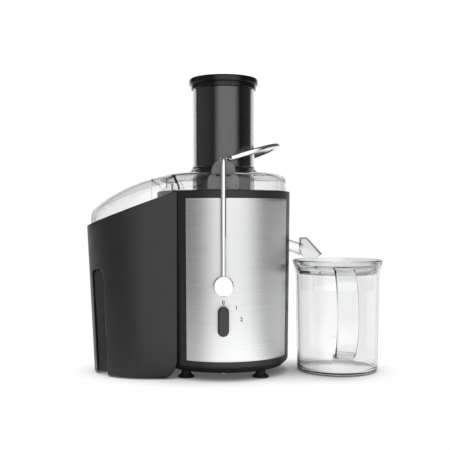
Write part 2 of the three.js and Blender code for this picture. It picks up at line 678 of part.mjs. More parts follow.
// ---------------------------------------------------------------- switch and interlock
function pill(width, length) {
  const r = width / 2;
  const h = length / 2 - r;
  const shape = new THREE.Shape();
  shape.absarc(0, h, r, 0, Math.PI, false);
  shape.absarc(0, -h, r, Math.PI, 2 * Math.PI, false);
  shape.closePath();
  return shape;
}
const knobBack = radiusAt(knobHeight) + 1;
const knobFront = knobBack + knobDepth + 0.5;
const switchFace = knobBack - 18;
function knob() {
  const grip = sideways(pill(knobWidth, knobLength), -knobFront + 2, -knobBack, 8);
  const face = sideways(pill(knobWidth - 2.4, knobLength - 2.4), -knobFront, -knobBack - 2, 8);
  const stem = rodY(switchShaftRadius, 0, 0, -knobBack - 2, -switchFace - gap, 16);
  return joined(grip, face, stem).translate([0, 0, knobHeight]);
}
add("selector_knob", knob(), plastic(0x363637, 0.45));
add("rotary_switch", block(-14, 14, -switchFace, -switchFace + 20, knobHeight - 14, knobHeight + 14), black);
add("safety_switch", block(12, 30, -switchFace - 6, -switchFace + 5, pivotHeight - 10, pivotHeight + 10),
  black);

// ---------------------------------------------------------------- pulp container and its cover
const containerFace = bodyRadius + containerGap;
const containerReach = containerFace + containerLength; // its left end from the motor's axis
const wallEnd = -Math.sqrt(containerFace ** 2 - containerHalfDepth ** 2); // where its sides meet the housing
const rimAt = (x) => bodyTop - gap + rimFall * (x - wallEnd);

const hoodSeam = -containerFace - 0.7; // where the container's cover ends and the lid's own hood begins
const wallTop = rimAt(-containerFace) - 1; // the container's concave wall passes under the lid's hood

// The plan of the container: concave round the housing, straight sides, half an ellipse at the left end.
function containerPlan(inset, draft) {
  const h = containerHalfDepth - inset;
  const rc = containerFace + inset;
  const start = -containerReach + endLength;
  const length = endLength - inset - draft;
  const corners = [];
  const sweep = Math.asin(h / rc);
  const arcSteps = 12;
  for (let i = 0; i <= arcSteps; i++) {
    const t = -sweep + (2 * sweep * i) / arcSteps;
    corners.push([-rc * Math.cos(t), rc * Math.sin(t)]);
  }
  const endSteps = 20;
  for (let i = 0; i <= endSteps; i++) {
    const t = rad(90 + (180 * i) / endSteps);
    corners.push([start + length * Math.cos(t), h * Math.sin(t)]);
  }
  return corners.map(([x, y]) => new THREE.Vector2(x, y));
}

// The left end leans outwards up to the low end of the rim, and stands upright above it.
const endHeight = rimAt(-containerReach);
function containerBody(inset, z0, z1) {
  const ringAt = (z) => {
    const draft = containerDraft * Math.max(1 - z / endHeight, 0);
    return containerPlan(inset, draft).map((p) => new THREE.Vector3(p.x, p.y, z));
  };
  return lofted([ringAt(z0), ringAt(endHeight), ringAt(z1)]);
}

// Arched finger recesses at the front and the rear of the left end.
function gripRecess(grow) {
  const lean = (z) => containerDraft * (1 - z / endHeight);
  const left = (z) => -containerReach + gripMargin - grow + lean(z);
  const right = (z) => -containerReach + gripReach + grow + lean(z);
  const shoulder = gripTop - (gripReach - gripMargin) / 2;
  const shape = new THREE.Shape();
  shape.moveTo(left(-10), -10);
  shape.lineTo(right(-10), -10);
  shape.lineTo(right(shoulder), shoulder);
  shape.bezierCurveTo(right(gripTop), gripTop + grow, left(gripTop), gripTop + grow, left(shoulder),
    shoulder);
  shape.closePath();
  return joined(
    sideways(shape, gripHalfWeb - grow, containerHalfDepth + 10, 6),
    sideways(shape, -containerHalfDepth - 10, -gripHalfWeb + grow, 6),
  );
}

function container() {
  const bulk = containerBody(0, containerFloat, bodyTop + 5).subtract(gripRecess(0));
  const hollow = containerBody(containerWall, containerFloat + containerWall, bodyTop + 10)
    .subtract(gripRecess(containerWall));
  const aboveRim = outline([[-containerReach - 20, rimAt(-containerReach - 20)], [0, rimAt(0)],
    [0, bodyTop + 50], [-containerReach - 20, bodyTop + 50]]);
  const x0 = -containerReach - 20;
  const slab = sideways(outline([[x0, rimAt(x0) - ledgeDrop - 2.5], [0, rimAt(0) - ledgeDrop - 2.5],
    [0, rimAt(0) - ledgeDrop], [x0, rimAt(x0) - ledgeDrop]]), -100, 100);
  const ledge = slab.intersect(containerBody(containerWall - 0.5, 20, bodyTop + 5))
    .subtract(containerBody(containerWall + 4, 10, bodyTop + 10));
  const beside = wallEnd + 20;
  const cut = outline([[wallEnd - cornerCut, 0], [beside, 0], [beside, cornerCut + 20]]);
  const innerHalf = containerHalfDepth - containerWall;
  const underHood = block(hoodSeam - 6, beside, -innerHalf, innerHalf, wallTop, bodyTop + 10);
  return bulk.subtract(hollow).add(ledge).subtract(underHood)
    .subtract(sideways(aboveRim, -100, 100)).subtract(sideways(cut, -100, 100));
}
add("pulp_container", container(), plastic(0x3a3a3b, 0.4));

// Half the cover's width at a place along X, and the height of its crown there.
function coverSection(x, inset) {
  const start = -containerReach + endLength;
  const reach = endLength - coverInset - inset;
  const along = Math.min(Math.max((start - x) / reach, 0), 1);
  const half = (containerHalfDepth - coverSideInset - inset) * Math.sqrt(1 - along ** 2);
  return [half, rimAt(x) + coverRise - coverBow * (x - coverCrest) ** 2 - inset];
}

function coverBody(inset, bottom) {
  const left = -containerReach + coverInset + inset + 0.6;
  const right = wallEnd + coverOverlap;
  const steps = 12;
  const rings = [];
  for (let i = 0; i <= steps; i++) {
    const x = left + (right - left) * (i / steps) ** 1.7;
    const [half, crown] = coverSection(x, inset);
    const fillet = Math.min(coverFillet - inset, half * 0.8);
    const ringPoints = [[-half, bottom]];
    for (const [side, from] of [[-1, 180], [1, 90]])
      for (let k = 0; k <= 4; k++) {
        const t = rad(from - 22.5 * k);
        ringPoints.push([side * (half - fillet) + fillet * Math.cos(t),
          crown - fillet + fillet * Math.sin(t)]);
      }
    ringPoints.push([half, bottom]);
    rings.push(ringPoints.map(([y, z]) => new THREE.Vector3(x, y, z)));
  }
  return lofted(rings);
}

// The hood over the container is one crowned shell, part on the container and part fixed to the lid.
const hoodShell = coverBody(0, coverFloor).subtract(coverBody(coverWall, coverFloor - 20));
function cover() {
  const x0 = -containerReach - 20;
  const seat = (x) => rimAt(x) - ledgeDrop + gap;
  const below = sideways(outline([[x0, 60], [0, 60], [0, seat(0)], [x0, seat(x0)]]), -100, 100);
  return hoodShell.subtract(below).subtract(block(hoodSeam - gap / 2, 0, -100, 100, 60, bodyTop + 50));
}
function lidHood() {
  const beyond = block(-containerReach, hoodSeam + gap / 2, -100, 100, 60, bodyTop + 50);
  const below = block(-containerReach, 0, -100, 100, 60, wallTop + gap);
  const overHousing = disc(bodyRadius + lidClearance, 60, bodyTop + lidClearance, shellSteps);
  const top = domeTop + lidClearance;
  const overLid = turned([[0, 60], [domeRadius + lidClearance, 60], ...dome(lidClearance), [0, top]],
    shellSteps);
  return hoodShell.subtract(beyond).subtract(below).subtract(overHousing).subtract(overLid);
}
add("lid_hood", lidHood(), clear);
add("pulp_cover", cover(), clear);

// ---------------------------------------------------------------- jug
const jugRim = jugRadius + jugFlare;
const jugX = bodyRadius + jugGap + jugRim;
const flareStart = jugHeight - jugFlareHeight;
const atJug = (body) => body.translate([jugX, 0, 0]);
const jugInner = (z) =>
  (z > flareStart ? jugRadius + (jugFlare * (z - flareStart)) / jugFlareHeight : jugRadius) - jugWall;

add("jug", atJug(turned([
  [0, jugFloat], [jugRadius - jugDraft - 4, jugFloat], [jugRadius - jugDraft, jugFloat + 4],
    [jugRadius, flareStart], [jugRim, jugHeight],
  [jugRim - jugWall, jugHeight], [jugRadius - jugWall, flareStart],
    [jugRadius - jugDraft - jugWall, jugFloat + 6], [jugRadius - jugDraft - jugWall - 3, jugFloat + 3],
  [0, jugFloat + 3],
], jugSteps)), clear);

// A bowed strap at the front of the jug.
function handle() {
  const middle = (jugHeight - handleTopDrop + handleBottom) / 2;
  const halfHeight = middle - handleBottom;
  const bow = (inset) => {
    const shape = new THREE.Shape();
    shape.absellipse(-jugRadius + 3, middle, handleReach + 3 - inset, halfHeight - inset, 0, 2 * Math.PI,
      false);
    return crossways(shape, -handleWidth / 2 - inset, handleWidth / 2 + inset, 18);
  };
  const jugSkin = turned([[0, 0], [jugRadius - jugDraft + gap, 0], [jugRadius + gap, flareStart],
    [jugRim + gap, jugHeight + 1], [0, jugHeight + 1]], jugSteps);
  const behind = block(-jugRim, jugRim, -jugRadius + 12, jugRim, 0, jugHeight + 5);
  return atJug(bow(0).subtract(bow(handleBar)).subtract(jugSkin).subtract(behind));
}
add("jug_handle", handle(), clear);

// The jug's lid is a dish seated in the flare, with a notch under the nozzle and a plate that holds back the foam.
const lidSeat = flareStart + 10;
function jugLid() {
  const clearance = gap + 0.1;
  const dish = turned([
    [0, lidSeat], [jugInner(flareStart) - clearance - 2, lidSeat],
      [jugInner(flareStart) - clearance - 2, flareStart],
    [jugInner(flareStart) - clearance, flareStart], [jugInner(jugHeight) - clearance, jugHeight],
    [jugInner(jugHeight) - clearance - 2, jugHeight],
      [jugInner(lidSeat + 2) - clearance - 2.2, lidSeat + 2], [0, lidSeat + 2],
  ], jugSteps);
  const notchEnd = wallX + nozzleReach + nozzleClearance - jugX;
  const notchHalf = nozzleHalfWidth + nozzleClearance;
  const notch = block(-jugRim - 5, notchEnd, -notchHalf, notchHalf, flareStart - 5, jugHeight + 5);
  return atJug(dish.subtract(notch));
}
const plateY = 40;
const plateHalf = Math.sqrt((jugRadius - jugDraft - jugWall - 1) ** 2 - plateY ** 2);
add("jug_lid", jugLid(), clear);
add("foam_separator", atJug(block(-plateHalf, plateHalf, plateY - 2, plateY, lidSeat - 38, lidSeat - gap)),
  clear);

// ---------------------------------------------------------------- placing
// The origin is the middle of the footprint, on the table.
juicer.position.set((containerReach - (jugX + jugRim)) / 2, (knobFront - hubOuter) / 2, 0);

export default juicer;
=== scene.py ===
"""A centrifugal juicer: fine surfaces, materials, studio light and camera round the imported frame."""
import json
import math

import bmesh
import bpy
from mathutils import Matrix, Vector


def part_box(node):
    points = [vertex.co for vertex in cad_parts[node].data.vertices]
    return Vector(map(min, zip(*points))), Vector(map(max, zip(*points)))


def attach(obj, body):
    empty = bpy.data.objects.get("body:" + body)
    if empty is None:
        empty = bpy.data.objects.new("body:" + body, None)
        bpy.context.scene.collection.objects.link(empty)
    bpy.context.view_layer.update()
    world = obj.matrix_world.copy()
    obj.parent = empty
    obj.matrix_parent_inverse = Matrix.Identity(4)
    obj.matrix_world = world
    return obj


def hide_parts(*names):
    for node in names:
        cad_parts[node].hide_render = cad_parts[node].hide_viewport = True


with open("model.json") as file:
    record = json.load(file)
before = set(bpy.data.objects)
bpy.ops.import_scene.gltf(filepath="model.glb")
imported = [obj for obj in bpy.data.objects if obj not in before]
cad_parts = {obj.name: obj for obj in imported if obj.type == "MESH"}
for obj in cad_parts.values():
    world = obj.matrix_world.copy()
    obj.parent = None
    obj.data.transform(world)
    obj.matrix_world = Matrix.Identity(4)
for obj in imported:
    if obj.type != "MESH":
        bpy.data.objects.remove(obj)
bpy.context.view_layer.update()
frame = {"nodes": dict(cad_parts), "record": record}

# ---------------------------------------------------------------- sizes in mm, about the motor's axis
MM = 0.001
AXIS = (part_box("feed_chute")[0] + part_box("feed_chute")[1]) / 2


def span(node):
    """Lowest and highest corner of a CAD node, in millimetres about the motor's axis."""
    return [Vector((p.x - AXIS.x, p.y - AXIS.y, p.z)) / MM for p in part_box(node)]


GAP = 0.4
body_low, body_high = span("housing")
BODY_R = body_high.x
BODY_TOP = body_high.z
BODY_FOOT = body_low.z
BODY_DRAFT = 2.5
BODY_WALL = 3.0
PLINTH_CHAMFER = 7.0
PLINTH_TOP = 19.0
PLINTH_STEP = 14.0
PLINTH_INNER = 75.8  # round the base plate
DECK_TOP = 149.0  # the deck over the motor
DECK_HOLE = 12.0
VENT_HALF = 24.0
panel_low, panel_high = span("front_panel")
PANEL_LEFT = math.radians(-32.3)
PANEL_RIGHT = math.radians(67.5)
PANEL_DEPTH = 0.8
dome_high = span("lid")[1]
DOME_R = dome_high.x
DOME_TOP = dome_high.z
DOME_FILLET = 14.0
LID_WALL = 2.5
WINDOW_HALF = 38.0  # the lid's opening towards the container
LUG_SLOT_LOW = 251.2
LUG_SLOT_HIGH = 253.2
LUG_FOOT_TOP = 253.6
LUG_TAB_LOW = 254.5
LID_CLEARANCE = 0.8  # from the hood to the lid and the housing
chute_low, chute_high = span("feed_chute")
CHUTE_BORE = 37.5
CHUTE_R = 40.9
pusher_low, pusher_high = span("pusher")
PUSHER_R = pusher_high.x
cap_low, cap_high = span("pusher_cap")
CAP_R = cap_high.x
hub_low, hub_high = span("arm_hub_front")
HUB_R = hub_high.x
PIVOT_Z = (hub_low.z + hub_high.z) / 2
WIRE_R = 3.5
WIRE_LINE = -(hub_low.y + hub_high.y) / 2
RUN_Z = span("lid_lug_front")[1].z + 1 + WIRE_R
LOOP_HALF = 55.0
LOOP_REACH = 69.0
LOOP_RISE = math.radians(18)
ARM_BEND = 13.0
knob_low, knob_high = span("selector_knob")
KNOB_Z = (knob_low.z + knob_high.z) / 2
tub_low, tub_high = span("pulp_container")
TUB_LEFT = tub_low.x
TUB_HALF = tub_high.y
TUB_FACE = BODY_R + 1
TUB_WALL = 2.6
TUB_DRAFT = 10.0
END_LENGTH = 85.0
RIM_FALL = 0.365
RIM_END = 234.6
LEDGE_DROP = 8.0
GRIP_NEAR = 8.0
GRIP_FAR = 24.0
GRIP_TOP = 135.0
GRIP_WEB = 21.5
CORNER_HIGH = 24.0  # the container's rounded lower corner beside the housing
CORNER_START = -75.0
CORNER_LONG = 17.3
COVER_INSET = 5.0
COVER_SIDE = 3.4
COVER_RISE = 29.0
COVER_CREST = -108.0
COVER_BOW = 0.0024
COVER_FILLET = 22.0
COVER_WALL = 2.2
COVER_NOSE = 7.0  # rounding over the left end
COVER_BULGE = 1.2
SPOUT_R = 8.0
SPOUT_WALL = 2.0
SPOUT_Z = 165.0
SPOUT_DROP = math.radians(18.8)
nozzle_low, nozzle_high = span("spout_nozzle")
jug_low, jug_high = span("jug")
JUG_X = (jug_low.x + jug_high.x) / 2
JUG_RIM = (jug_high.x - jug_low.x) / 2
JUG_TOP = jug_high.z
JUG_FLARE = 4.6
JUG_R = JUG_RIM - JUG_FLARE
JUG_DRAFT = 2.1
JUG_WALL = 2.4
FLARE_Z = JUG_TOP - 18
HANDLE_BAR = (26.2, 5.0)  # width and thickness of the strap
HUB_TUBE = (14.5, 17.0)  # the collector's centre tube, inner and outer radius
BASKET_FOOT = 42.7
handle_low, handle_high = span("jug_handle")


def body_radius(z):
    return BODY_R - BODY_DRAFT * (BODY_TOP - z) / (BODY_TOP - BODY_FOOT)


# ---------------------------------------------------------------- shapes: each is (vertices, faces)
def rounded(corners, steps=5, closed=True):
    """A flat outline with each corner (a, b, radius) made an arc."""
    points = []
    for i, (a, b, radius) in enumerate(corners):
        here = Vector((a, b))
        if radius == 0 or (not closed and i in (0, len(corners) - 1)):
            points.append((a, b))
            continue
        back = Vector(corners[i - 1][:2]) - here
        on = Vector(corners[(i + 1) % len(corners)][:2]) - here
        half = math.acos(max(-1, min(1, back.normalized().dot(on.normalized())))) / 2
        cut = min(radius / math.tan(half), back.length * 0.49, on.length * 0.49)
        centre = here + (back.normalized() + on.normalized()).normalized() * cut / math.cos(half)
        first = here + back.normalized() * cut - centre
        last = here + on.normalized() * cut - centre
        start = math.atan2(first.y, first.x)
        sweep = (math.atan2(last.y, last.x) - start + math.pi) % (2 * math.pi) - math.pi
        for k in range(steps + 1):
            t = start + sweep * k / steps
            points.append((centre.x + first.length * math.cos(t), centre.y + first.length * math.sin(t)))
    return points


def lathe(profile, steps=128, angles=None, radius_at=None):
    """A profile of (radius, z) turned about Z. Angle 0 is the front, and angles grow towards the right."""
    angles = angles or [2 * math.pi * k / steps for k in range(steps)]
    closed = profile[0][0] > 1e-6 or profile[-1][0] > 1e-6
    verts, rows = [], []
    for r, z in profile:
        if r < 1e-6:
            rows.append([len(verts)] * len(angles))
            verts.append((0, 0, z))
            continue
        rows.append(list(range(len(verts), len(verts) + len(angles))))
        for a in angles:
            reach = radius_at(r, z, a) if radius_at else r
            verts.append((reach * math.sin(a), -reach * math.cos(a), z))
    faces = []
    for j in range(len(rows) if closed else len(rows) - 1):
        low, high = rows[j], rows[(j + 1) % len(rows)]
        for i in range(len(angles)):
            n = (i + 1) % len(angles)
            corners = [low[i], low[n], high[n], high[i]]
            faces.append(list(dict.fromkeys(corners)))
    return verts, [f for f in faces if len(f) > 2]


def loft(rings, capped=True):
    """A closed skin through rings with the same number of points."""
    count = len(rings[0])
    verts = [tuple(p) for ring in rings for p in ring]
    faces = []
    for j in range(len(rings) - 1 if capped else len(rings)):
        low, high = j * count, ((j + 1) % len(rings)) * count
        for i in range(count):
            n = (i + 1) % count
            faces.append([low + i, low + n, high + n, high + i])
    if capped:
        faces.append(list(range(count))[::-1])
        faces.append([(len(rings) - 1) * count + i for i in range(count)])
    return verts, faces


def prism(outline, low, high, axis="y"):
    """An outline raised along an axis: (x, z) along y, (y, z) along x, (x, y) along z."""
    places = {
        "x": lambda a, b, t: (t, a, b),
        "y": lambda a, b, t: (a, t, b),
        "z": lambda a, b, t: (a, b, t),
    }
    return loft([[places[axis](a, b, t) for a, b in outline] for t in (low, high)])


def rod(points, radius, sides=24, section=None):
    """A rod through points, its section carried along without twist."""
    turns = [2 * math.pi * k / sides for k in range(sides)]
    section = section or [(radius * math.cos(t), radius * math.sin(t)) for t in turns]
    points = [Vector(p) for p in points]
    side = Vector((1, 0, 0))
    rings = []
    for i, point in enumerate(points):
        along = (points[min(i + 1, len(points) - 1)] - points[max(i - 1, 0)]).normalized()
        side = (side - along * side.dot(along)).normalized()
        over = along.cross(side)
        rings.append([point + side * a + over * b for a, b in section])
    return loft(rings)


def turned(shape, pitch, offset=(0, 0, 0)):
    """A shape tipped about Y by pitch, then moved."""
    c, s = math.cos(pitch), math.sin(pitch)
    ox, oy, oz = offset
    return [(x * c + z * s + ox, y + oy, -x * s + z * c + oz) for x, y, z in shape[0]], shape[1]


def facing(shape, side, offset=(0, 0, 0)):
    """A shape about Z laid along Y, with its top towards the front (-1) or the rear (1)."""
    ox, oy, oz = offset
    return [(x + ox, side * z + oy, y + oz) for x, y, z in shape[0]], shape[1]


def moved(shape, offset):
    return [tuple(Vector(v) + Vector(offset)) for v in shape[0]], shape[1]


def merged(*shapes):
    verts, faces = [], []
    for shape in shapes:
        faces += [[i + len(verts) for i in f] for f in shape[1]]
        verts += shape[0]
    return verts, faces


# ---------------------------------------------------------------- objects
def new_object(name, shape):
    mesh = bpy.data.meshes.new(name)
    mesh.from_pydata([(x * MM + AXIS.x, y * MM + AXIS.y, z * MM) for x, y, z in shape[0]], [], shape[1])
    tidy = bmesh.new()
    tidy.from_mesh(mesh)
    bmesh.ops.remove_doubles(tidy, verts=tidy.verts, dist=1e-6)
    bmesh.ops.recalc_face_normals(tidy, faces=tidy.faces)
    tidy.to_mesh(mesh)
    tidy.free()
    obj = bpy.data.objects.new(name, mesh)
    bpy.context.scene.collection.objects.link(obj)
    return obj


def apply_modifiers(obj):
    bpy.context.view_layer.update()
    done = bpy.data.meshes.new_from_object(obj.evaluated_get(bpy.context.evaluated_depsgraph_get()))
    obj.modifiers.clear()
    obj.data = done


def combine(obj, shape, how="DIFFERENCE"):
    """Cuts a shape from an object, or joins it on."""
    tool = new_object(obj.name + "_tool", shape)
    change = obj.modifiers.new("combine", "BOOLEAN")
    change.operation = how
    change.object = tool
    change.solver = "EXACT"
    apply_modifiers(obj)
    bpy.data.objects.remove(tool)


def soften(obj, width, segments=3, angle=40):
    change = obj.modifiers.new("soften", "BEVEL")
    change.width = width * MM
    change.segments = segments
    change.limit_method = "ANGLE"
    change.angle_limit = math.radians(angle)
    apply_modifiers(obj)


def piece(obj, body, slot, stands_for=(), smooth=32):
    """Gives an object its smooth shading, material and place in the frame."""
    for polygon in obj.data.polygons:
        polygon.use_smooth = True
    obj.data.set_sharp_from_angle(angle=math.radians(smooth))
    obj.data.materials.clear()
    obj.data.materials.append(materials[slot])
    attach(obj, body)
    if stands_for:
        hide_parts(*stands_for)
    return obj


def make(name, shape, body, slot, stands_for=(), smooth=32):
    return piece(new_object(name, shape), body, slot, stands_for, smooth)


# ---------------------------------------------------------------- materials
class Finish:
    """A material whose Principled shader takes colour, roughness and bump from noise on the surface."""

    def __init__(self, name, **sockets):
        self.material = bpy.data.materials.new(name)
        self.material.use_nodes = True
        self.nodes = self.material.node_tree.nodes
        self.links = self.material.node_tree.links
        self.shader = self.nodes["Principled BSDF"]
        for socket, value in sockets.items():
            self.shader.inputs[socket.replace("_", " ")].default_value = value

    def link(self, output, socket):
        self.links.new(output, self.shader.inputs[socket])

    def noise(self, scale, stretch=(1, 1, 1), detail=3.0):
        coords = self.nodes.new("ShaderNodeTexCoord")
        mapping = self.nodes.new("ShaderNodeMapping")
        mapping.inputs["Scale"].default_value = stretch
        self.links.new(coords.outputs["Object"], mapping.inputs["Vector"])
        texture = self.nodes.new("ShaderNodeTexNoise")
        texture.inputs["Scale"].default_value = scale
        texture.inputs["Detail"].default_value = detail
        self.links.new(mapping.outputs["Vector"], texture.inputs["Vector"])
        return texture.outputs["Fac"]

    def ramp(self, value, low, high, start=0.3, end=0.7):
        """A grey or a colour that runs from low to high as the value runs from start to end."""
        node = self.nodes.new("ShaderNodeValToRGB")
        node.color_ramp.elements[0].position = start
        node.color_ramp.elements[1].position = end
        for element, c in zip(node.color_ramp.elements, (low, high)):
            element.color = (*c, 1) if isinstance(c, tuple) else (c, c, c, 1)
        self.links.new(value, node.inputs["Fac"])
        return node.outputs["Color"]

    def bump(self, height, strength, depth_mm=0.1):
        node = self.nodes.new("ShaderNodeBump")
        node.inputs["Strength"].default_value = strength
        node.inputs["Distance"].default_value = depth_mm * MM
        self.links.new(height, node.inputs["Height"])
        self.link(node.outputs["Normal"], "Normal")


def shade(color, factor):
    return tuple(min(c * factor, 1) for c in color)


def moulded(name, color, roughness, grain=0.25, grain_scale=1800, spread=0.06, vary=0.06, **sockets):
    """Moulded plastic or rubber: fine spark-eroded grain and slow changes of tone and gloss."""
    finish = Finish(name, **sockets)
    slow = finish.noise(14)
    finish.link(finish.ramp(slow, shade(color, 1 - vary), shade(color, 1 + vary)), "Base Color")
    finish.link(finish.ramp(finish.noise(60), roughness - spread, roughness + spread), "Roughness")
    finish.bump(finish.noise(grain_scale, detail=2.0), grain, 0.05)
    return finish.material


def metal(name, color, roughness, stretch=(1, 1, 1), scale=400, spread=0.08, vary=0.08, bump=0.1, **sockets):
    finish = Finish(name, Metallic=1.0, **sockets)
    lines = finish.noise(scale, stretch)
    finish.link(finish.ramp(lines, shade(color, 1 - vary), shade(color, 1 + vary)), "Base Color")
    finish.link(finish.ramp(lines, roughness - spread, roughness + spread), "Roughness")
    finish.bump(lines, bump, 0.02)
    return finish.material


def brushed_panel():
    """Stainless sheet brushed round the housing: long fine lines, with a few coarser ones among them."""
    finish = Finish("brushed_steel", Metallic=1.0, Anisotropic=0.45, Anisotropic_Rotation=0.0)
    fine = finish.noise(1.0, (22, 22, 5200), 2.0)
    broad = finish.noise(1.0, (9, 9, 900), 2.0)
    blend = finish.nodes.new("ShaderNodeMath")
    blend.operation = "MULTIPLY_ADD"
    blend.inputs[1].default_value = 0.5
    finish.links.new(fine, blend.inputs[0])
    half = finish.nodes.new("ShaderNodeMath")
    half.operation = "MULTIPLY"
    half.inputs[1].default_value = 0.5
    finish.links.new(broad, half.inputs[0])
    finish.links.new(half.outputs[0], blend.inputs[2])
    lines = blend.outputs[0]
    finish.link(finish.ramp(lines, (0.62, 0.625, 0.63), (0.72, 0.725, 0.73)), "Base Color")
    finish.link(finish.ramp(lines, 0.34, 0.46), "Roughness")
    tangent = finish.nodes.new("ShaderNodeTangent")
    tangent.direction_type = "RADIAL"
    tangent.axis = "Z"
    finish.link(tangent.outputs["Tangent"], "Tangent")
    finish.bump(lines, 0.12, 0.02)
    return finish.material


def clear(name, tint, edge, roughness=0.02, ripple=0.03, absorb=8.0, **sockets):
    """Clear moulded plastic: painted shade darkens its colour where it is seen edge on, absorption darkens it
    where it is thick, with faint ripple and patchy gloss.
    """
    finish = Finish(name, Transmission_Weight=1.0, IOR=1.5, **sockets)
    # painted shade: the facing weight darkens the colour towards the silhouette, with faint random tone mixed
    # in
    edge_shade = finish.nodes.new("ShaderNodeLayerWeight")
    edge_shade.inputs["Blend"].default_value = 0.5
    edge_shade_and_tone = finish.nodes.new("ShaderNodeMath")
    edge_shade_and_tone.operation = "MULTIPLY_ADD"
    edge_shade_and_tone.inputs[1].default_value = 0.04
    finish.links.new(finish.noise(9), edge_shade_and_tone.inputs[0])
    finish.links.new(edge_shade.outputs["Facing"], edge_shade_and_tone.inputs[2])
    finish.link(finish.ramp(edge_shade_and_tone.outputs[0], tint, shade(tint, edge), 0.72, 1.0), "Base Color")
    finish.link(finish.ramp(finish.noise(45), max(roughness - 0.01, 0), roughness + 0.02), "Roughness")
    finish.bump(finish.noise(30, (1, 1, 0.35)), ripple, 0.3)
    body = finish.nodes.new("ShaderNodeVolumeAbsorption")
    body.inputs["Color"].default_value = (0, 0, 0, 1)
    body.inputs["Density"].default_value = absorb
    finish.links.new(body.outputs["Volume"], finish.nodes["Material Output"].inputs["Volume"])
    return finish.material


def sieve():
    """Etched stainless mesh: rows of small holes, shown sunk by bump and dark by painted shade in the colour.
    """
    finish = Finish("sieve_steel", Metallic=1.0)
    coords = finish.nodes.new("ShaderNodeTexCoord")
    cells = finish.nodes.new("ShaderNodeTexVoronoi")
    cells.inputs["Scale"].default_value = 700
    finish.links.new(coords.outputs["Object"], cells.inputs["Vector"])
    away = cells.outputs["Distance"]
    hole, sheet = 0.22, 0.32
    # painted shade: the holes take a near-black colour
    finish.link(finish.ramp(away, (0.03, 0.03, 0.03), (0.62, 0.63, 0.64), hole, sheet), "Base Color")
    finish.link(finish.ramp(away, 0.6, 0.28, hole, sheet), "Roughness")
    finish.bump(away, 0.4, 0.2)
    return finish.material


materials = {
    "black_plastic": moulded("black_plastic", (0.014, 0.014, 0.0145), 0.42, Specular_IOR_Level=0.42),
    "container_plastic": moulded("container_plastic", (0.019, 0.019, 0.0195), 0.4, 0.18,
                                 Specular_IOR_Level=0.42),
    "gloss_black": moulded("gloss_black", (0.005, 0.005, 0.005), 0.08, 0.02, 300, 0.03,
                           Specular_IOR_Level=0.34),
    "knob_plastic": moulded("knob_plastic", (0.02, 0.02, 0.0205), 0.42),
    "rubber": moulded("rubber", (0.008, 0.008, 0.008), 0.7, 0.4, 900),
    "white_plastic": moulded("white_plastic", (0.68, 0.68, 0.65), 0.4),
    "frosted_plastic": moulded("frosted_plastic", (0.42, 0.43, 0.44), 0.3, 0.1,
                               Transmission_Weight=0.75, IOR=1.46),
    "brushed_steel": brushed_panel(),
    "plain_steel": metal("plain_steel", (0.56, 0.57, 0.58), 0.3),
    "sieve_steel": sieve(),
    "chrome": metal("chrome", (0.88, 0.89, 0.9), 0.05, scale=40, spread=0.02, vary=0.02, bump=0.02),
    "motor_iron": metal("motor_iron", (0.16, 0.16, 0.17), 0.5, (1, 1, 40), 60),
    "copper_wire": metal("copper_wire", (0.62, 0.27, 0.12), 0.35, (1, 1, 30), 60, bump=0.4),
    "brass": metal("brass", (0.66, 0.5, 0.24), 0.3),
    # the figure after each clear tint is the share of it left where the plastic is seen edge on: painted
    # shade
    "clear_plastic": clear("clear_plastic", (0.975, 0.978, 0.982), 0.25),
    "clear_jug": clear("clear_jug", (0.985, 0.988, 0.99), 0.2, 0.01),
    "lid_clear": clear("lid_clear", (0.9, 0.905, 0.91), 0.3, 0.05),
    "spout_clear": clear("spout_clear", (0.98, 0.982, 0.985), 0.3, absorb=75.0),
    "print": moulded("print", (0.03, 0.03, 0.03), 0.5),
}
for part in frame["record"]["subparts"]:
    node = frame["nodes"][part["node"]]
    node.data.materials.clear()
    node.data.materials.append(materials[part["material_slot"]])


# ---------------------------------------------------------------- housing
def wrapped(angle):
    return (angle + math.pi) % (2 * math.pi) - math.pi


def front_angles(edges, steps=160):
    """Angles round the body, with a close pair at each edge so that it stays crisp."""
    close, clear_of = math.radians(0.03), math.radians(0.6)
    angles = [2 * math.pi * k / steps for k in range(steps)]
    for edge in edges:
        angles = [a for a in angles if abs(wrapped(a - edge)) > clear_of]
        angles += [(edge - close) % (2 * math.pi), (edge + close) % (2 * math.pi)]
    return sorted(angles)


